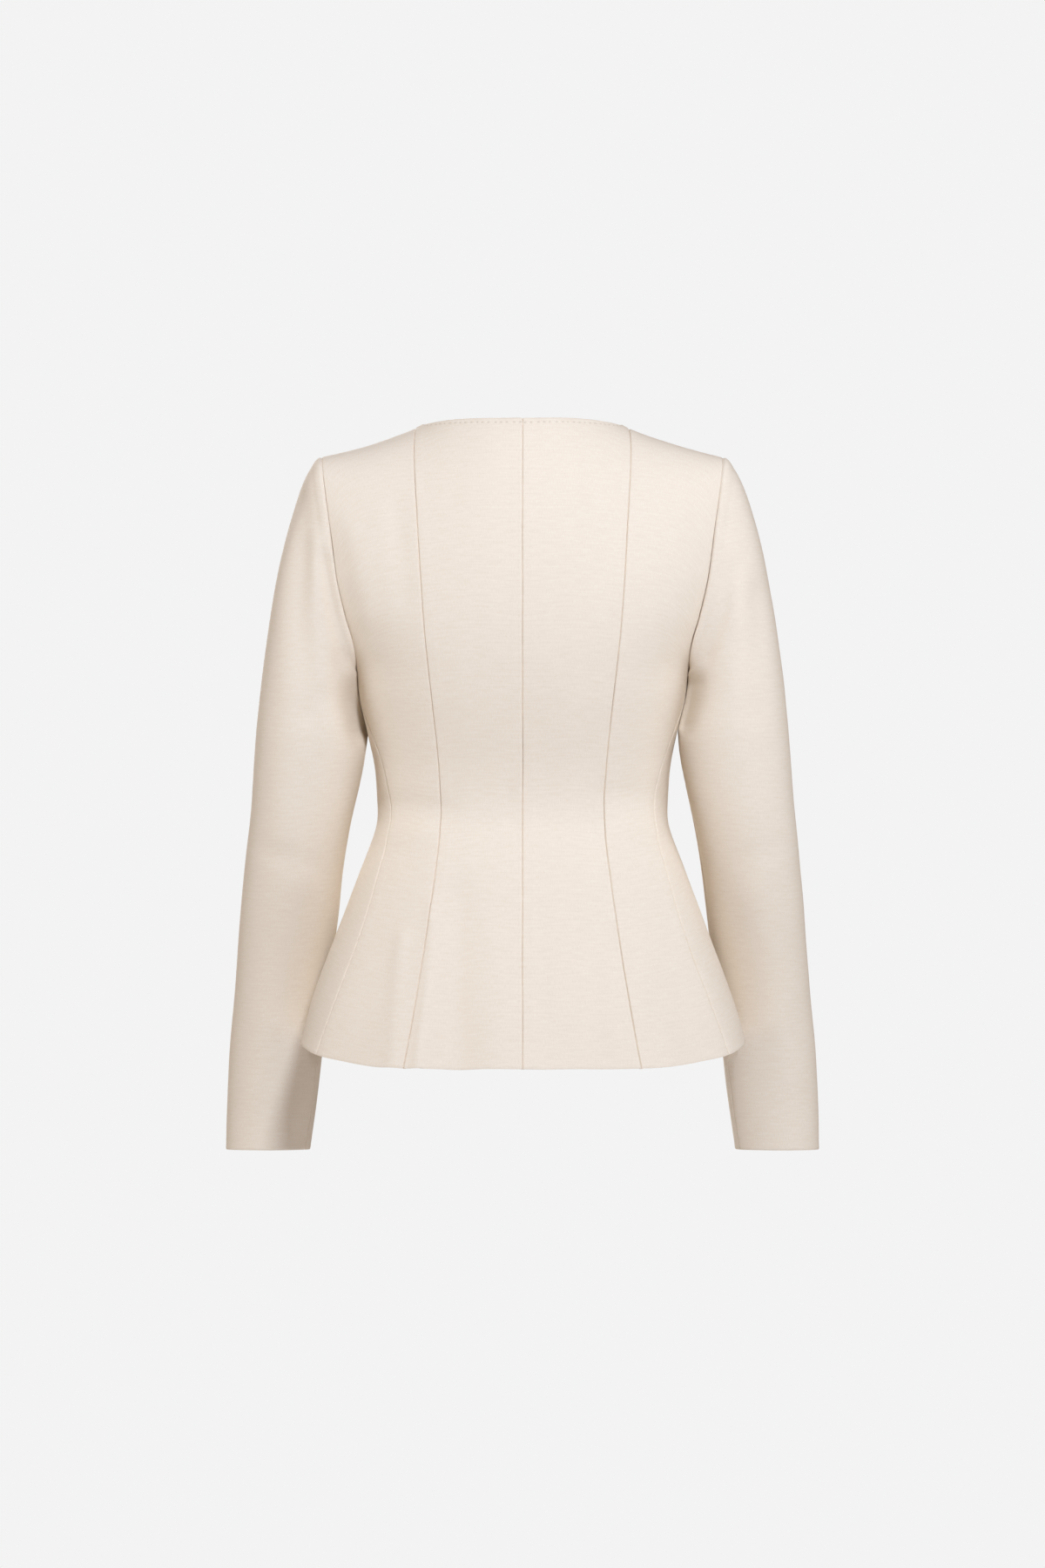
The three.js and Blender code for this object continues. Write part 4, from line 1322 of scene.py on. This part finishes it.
class JACKET_OT_buttons(bpy.types.Operator):
    """Turn the buttons and sew them on with a wound shank"""

    bl_idname = "jacket.buttons"
    bl_label = "Buttons"

    def execute(self, context):
        for side, sign in SIDES:
            for row, height in enumerate(BUTTON_HEIGHTS):
                point, normal = on_front(sign * BUTTON_COLUMN, height)
                place = standing_on(point, normal, BUTTON_SEAT * MM)
                button = horn_button(f"button_{side}_{row + 1}_horn", place)
                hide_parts(f"button_{side}_{row + 1}")
                button_thread(f"button_{side}_{row + 1}_thread", place)
        return {"FINISHED"}


# A worked buttonhole: close stitches from its slit to its edge on both sides, and a bar across each end
BUTTONHOLE = {"length": 24, "start": -3, "half_width": 1.7, "slit": 0.25, "stitches": 56}
PURL = {"thread": 0.26, "rise": 0.22, "sunk": 0.4}
BAR = {"past": 0.4, "stitches": 5, "apart": 0.8, "half_width": 0.9, "rise": 0.3}


class JACKET_OT_buttonholes(bpy.types.Operator):
    """Work the buttonholes of the lapped front by hand, in close silk stitches"""

    bl_idname = "jacket.buttonholes"
    bl_label = "Buttonholes"

    def execute(self, context):
        bm = bmesh.new()
        low = BUTTON_COLUMN - BUTTONHOLE["start"] - BUTTONHOLE["length"]
        high = low + BUTTONHOLE["length"]
        for height in BUTTON_HEIGHTS:
            for x in np.linspace(low, high, BUTTONHOLE["stitches"]):
                for up in (-1, 1):
                    start, normal = on_front(x, height + up * BUTTONHOLE["slit"])
                    end, _ = on_front(x, height + up * BUTTONHOLE["half_width"])
                    rise = normal * PURL["rise"] * MM
                    ends = (start + rise, end + rise * PURL["sunk"])
                    stitch(bm, *ends, PURL["thread"] * MM, segments=5, rings=4)
            for x in (low - BAR["past"], high + BAR["past"]):
                for number in range(BAR["stitches"]):
                    z = height + (number - BAR["stitches"] // 2) * BAR["apart"]
                    start, normal = on_front(x - BAR["half_width"], z)
                    end, _ = on_front(x + BAR["half_width"], z)
                    rise = normal * BAR["rise"] * MM
                    stitch(bm, start + rise, end + rise, PURL["thread"] * MM)
        new_piece("buttonholes", bm, silk_thread)
        return {"FINISHED"}


class JACKET_OT_stitches(bpy.types.Operator):
    """Sew the hand stitches along the neckline and the front edges"""

    bl_idname = "jacket.stitches"
    bl_label = "Pick stitches"

    def execute(self, context):
        bm = bmesh.new()
        pitch = sizes().stitch_pitch / MM
        for line in SEWING_LINES:
            first = math.ceil(line["phase"][0] / pitch - 0.5)
            for number in range(first, int(line["phase"][-1] / pitch - 0.5) + 1):
                run = np.interp((number + 0.5) * pitch, line["phase"], line["run"])
                ends = [line_point(line, run + way * STITCH_HALF) for way in (-1, 1)]
                stitch(bm, *ends, sizes().thread_radius)
        new_piece("pick_stitches", bm, silk_thread)
        return {"FINISHED"}


CAMERA_DISTANCE = 3200
CAMERA_HEIGHT = -328
FRAME_HEIGHT = 1440
SENSOR = 36
FLOOR_HEIGHT = -1530
FLOOR_RADIUS = 1700
AMBIENT = 0.165

# Soft lights: place in metres, side in metres, watts and tint. They look at the middle of the jacket.
LIGHTS = (
    ("key", (-0.5, 2.58, 1.34), 0.5, 83.5, "#E5EFFF"),
    ("right", (-2.7, 0.9, 0.1), 1.8, 23, "#F0F7FF"),
    ("left", (2.7, 0.9, 0.1), 1.8, 27, "#FAFDFF"),
    ("front", (0.9, -2.7, 0.5), 1.4, 66, "#F4F9FF"),
)
LIT_PLACE = (0, 0, -0.3)


def area_light(name, place, size, watts, tint):
    lamp = bpy.data.lights.new(name, "AREA")
    lamp.size = size
    lamp.energy = watts
    lamp.color = linear(tint)[:3]
    holder = bpy.data.objects.new(name, lamp)
    holder.location = place
    holder.rotation_euler = (Vector(place) - Vector(LIT_PLACE)).to_track_quat("Z", "Y").to_euler()
    bpy.context.scene.collection.objects.link(holder)


class JACKET_OT_stage(bpy.types.Operator):
    """Set up the backdrop, the floor, the soft lights and the camera"""

    bl_idname = "jacket.stage"
    bl_label = "Studio"

    def execute(self, context):
        scene = context.scene
        bm = bmesh.new()
        level = Matrix.Translation((0, 0, FLOOR_HEIGHT * MM))
        bmesh.ops.create_circle(bm, cap_ends=True, segments=96, radius=FLOOR_RADIUS * MM, matrix=level)
        floor = mesh_object("floor", bm, studio_paper)

        world = bpy.data.worlds.new("studio")
        world.use_nodes = True
        tree = world.node_tree
        tree.nodes.clear()
        seen = node(tree, "ShaderNodeBackground", {"Color": tuple(colours().paper), "Strength": 1.0})
        lit = node(tree, "ShaderNodeBackground", {"Color": tuple(colours().ambient), "Strength": AMBIENT})
        ray = node(tree, "ShaderNodeLightPath").outputs["Is Camera Ray"]
        both = node(tree, "ShaderNodeMixShader", {0: ray, 1: lit, 2: seen})
        node(tree, "ShaderNodeOutputWorld", {"Surface": both})
        scene.world = world

        for light in LIGHTS:
            area_light(*light)

        view = bpy.data.cameras.new("camera")
        view.sensor_fit = "VERTICAL"
        view.sensor_height = SENSOR
        view.lens = SENSOR * CAMERA_DISTANCE / FRAME_HEIGHT
        view.dof.use_dof = False
        holder = bpy.data.objects.new("camera", view)
        holder.location = (0, CAMERA_DISTANCE * MM, CAMERA_HEIGHT * MM)
        holder.rotation_euler = (math.pi / 2, 0, math.pi)
        scene.collection.objects.link(holder)
        scene.camera = holder
        scene.view_settings.view_transform = "Standard"
        scene.view_settings.look = "None"
        return {"FINISHED"}


class JACKET_PT_panel(bpy.types.Panel):
    """Sizes, colours and steps of the jacket"""

    bl_idname = "JACKET_PT_panel"
    bl_label = "Jacket"
    bl_space_type = "VIEW_3D"
    bl_region_type = "UI"
    bl_category = "Jacket"

    def draw(self, context):
        for group in (context.scene.jacket_sizes, context.scene.jacket_colours):
            for name in group.__annotations__:
                self.layout.prop(group, name)
        for step in STEPS:
            self.layout.operator(step.bl_idname)


STEPS = (
    JACKET_OT_body,
    JACKET_OT_sleeves,
    JACKET_OT_buttons,
    JACKET_OT_buttonholes,
    JACKET_OT_stitches,
    JACKET_OT_stage,
)
CLASSES = (JacketSizes, JacketColours, *STEPS, JACKET_PT_panel)


def register():
    for item in CLASSES:
        bpy.utils.register_class(item)
    bpy.types.Scene.jacket_sizes = bpy.props.PointerProperty(type=JacketSizes)
    bpy.types.Scene.jacket_colours = bpy.props.PointerProperty(type=JacketColours)


def unregister():
    del bpy.types.Scene.jacket_colours
    del bpy.types.Scene.jacket_sizes
    for item in reversed(CLASSES):
        bpy.utils.unregister_class(item)


def main():
    register()
    bpy.ops.jacket.body()
    bpy.ops.jacket.sleeves()
    bpy.ops.jacket.buttons()
    bpy.ops.jacket.buttonholes()
    bpy.ops.jacket.stitches()
    bpy.ops.jacket.stage()
    bpy.context.view_layer.update()


if __name__ == "__main__":
    main()
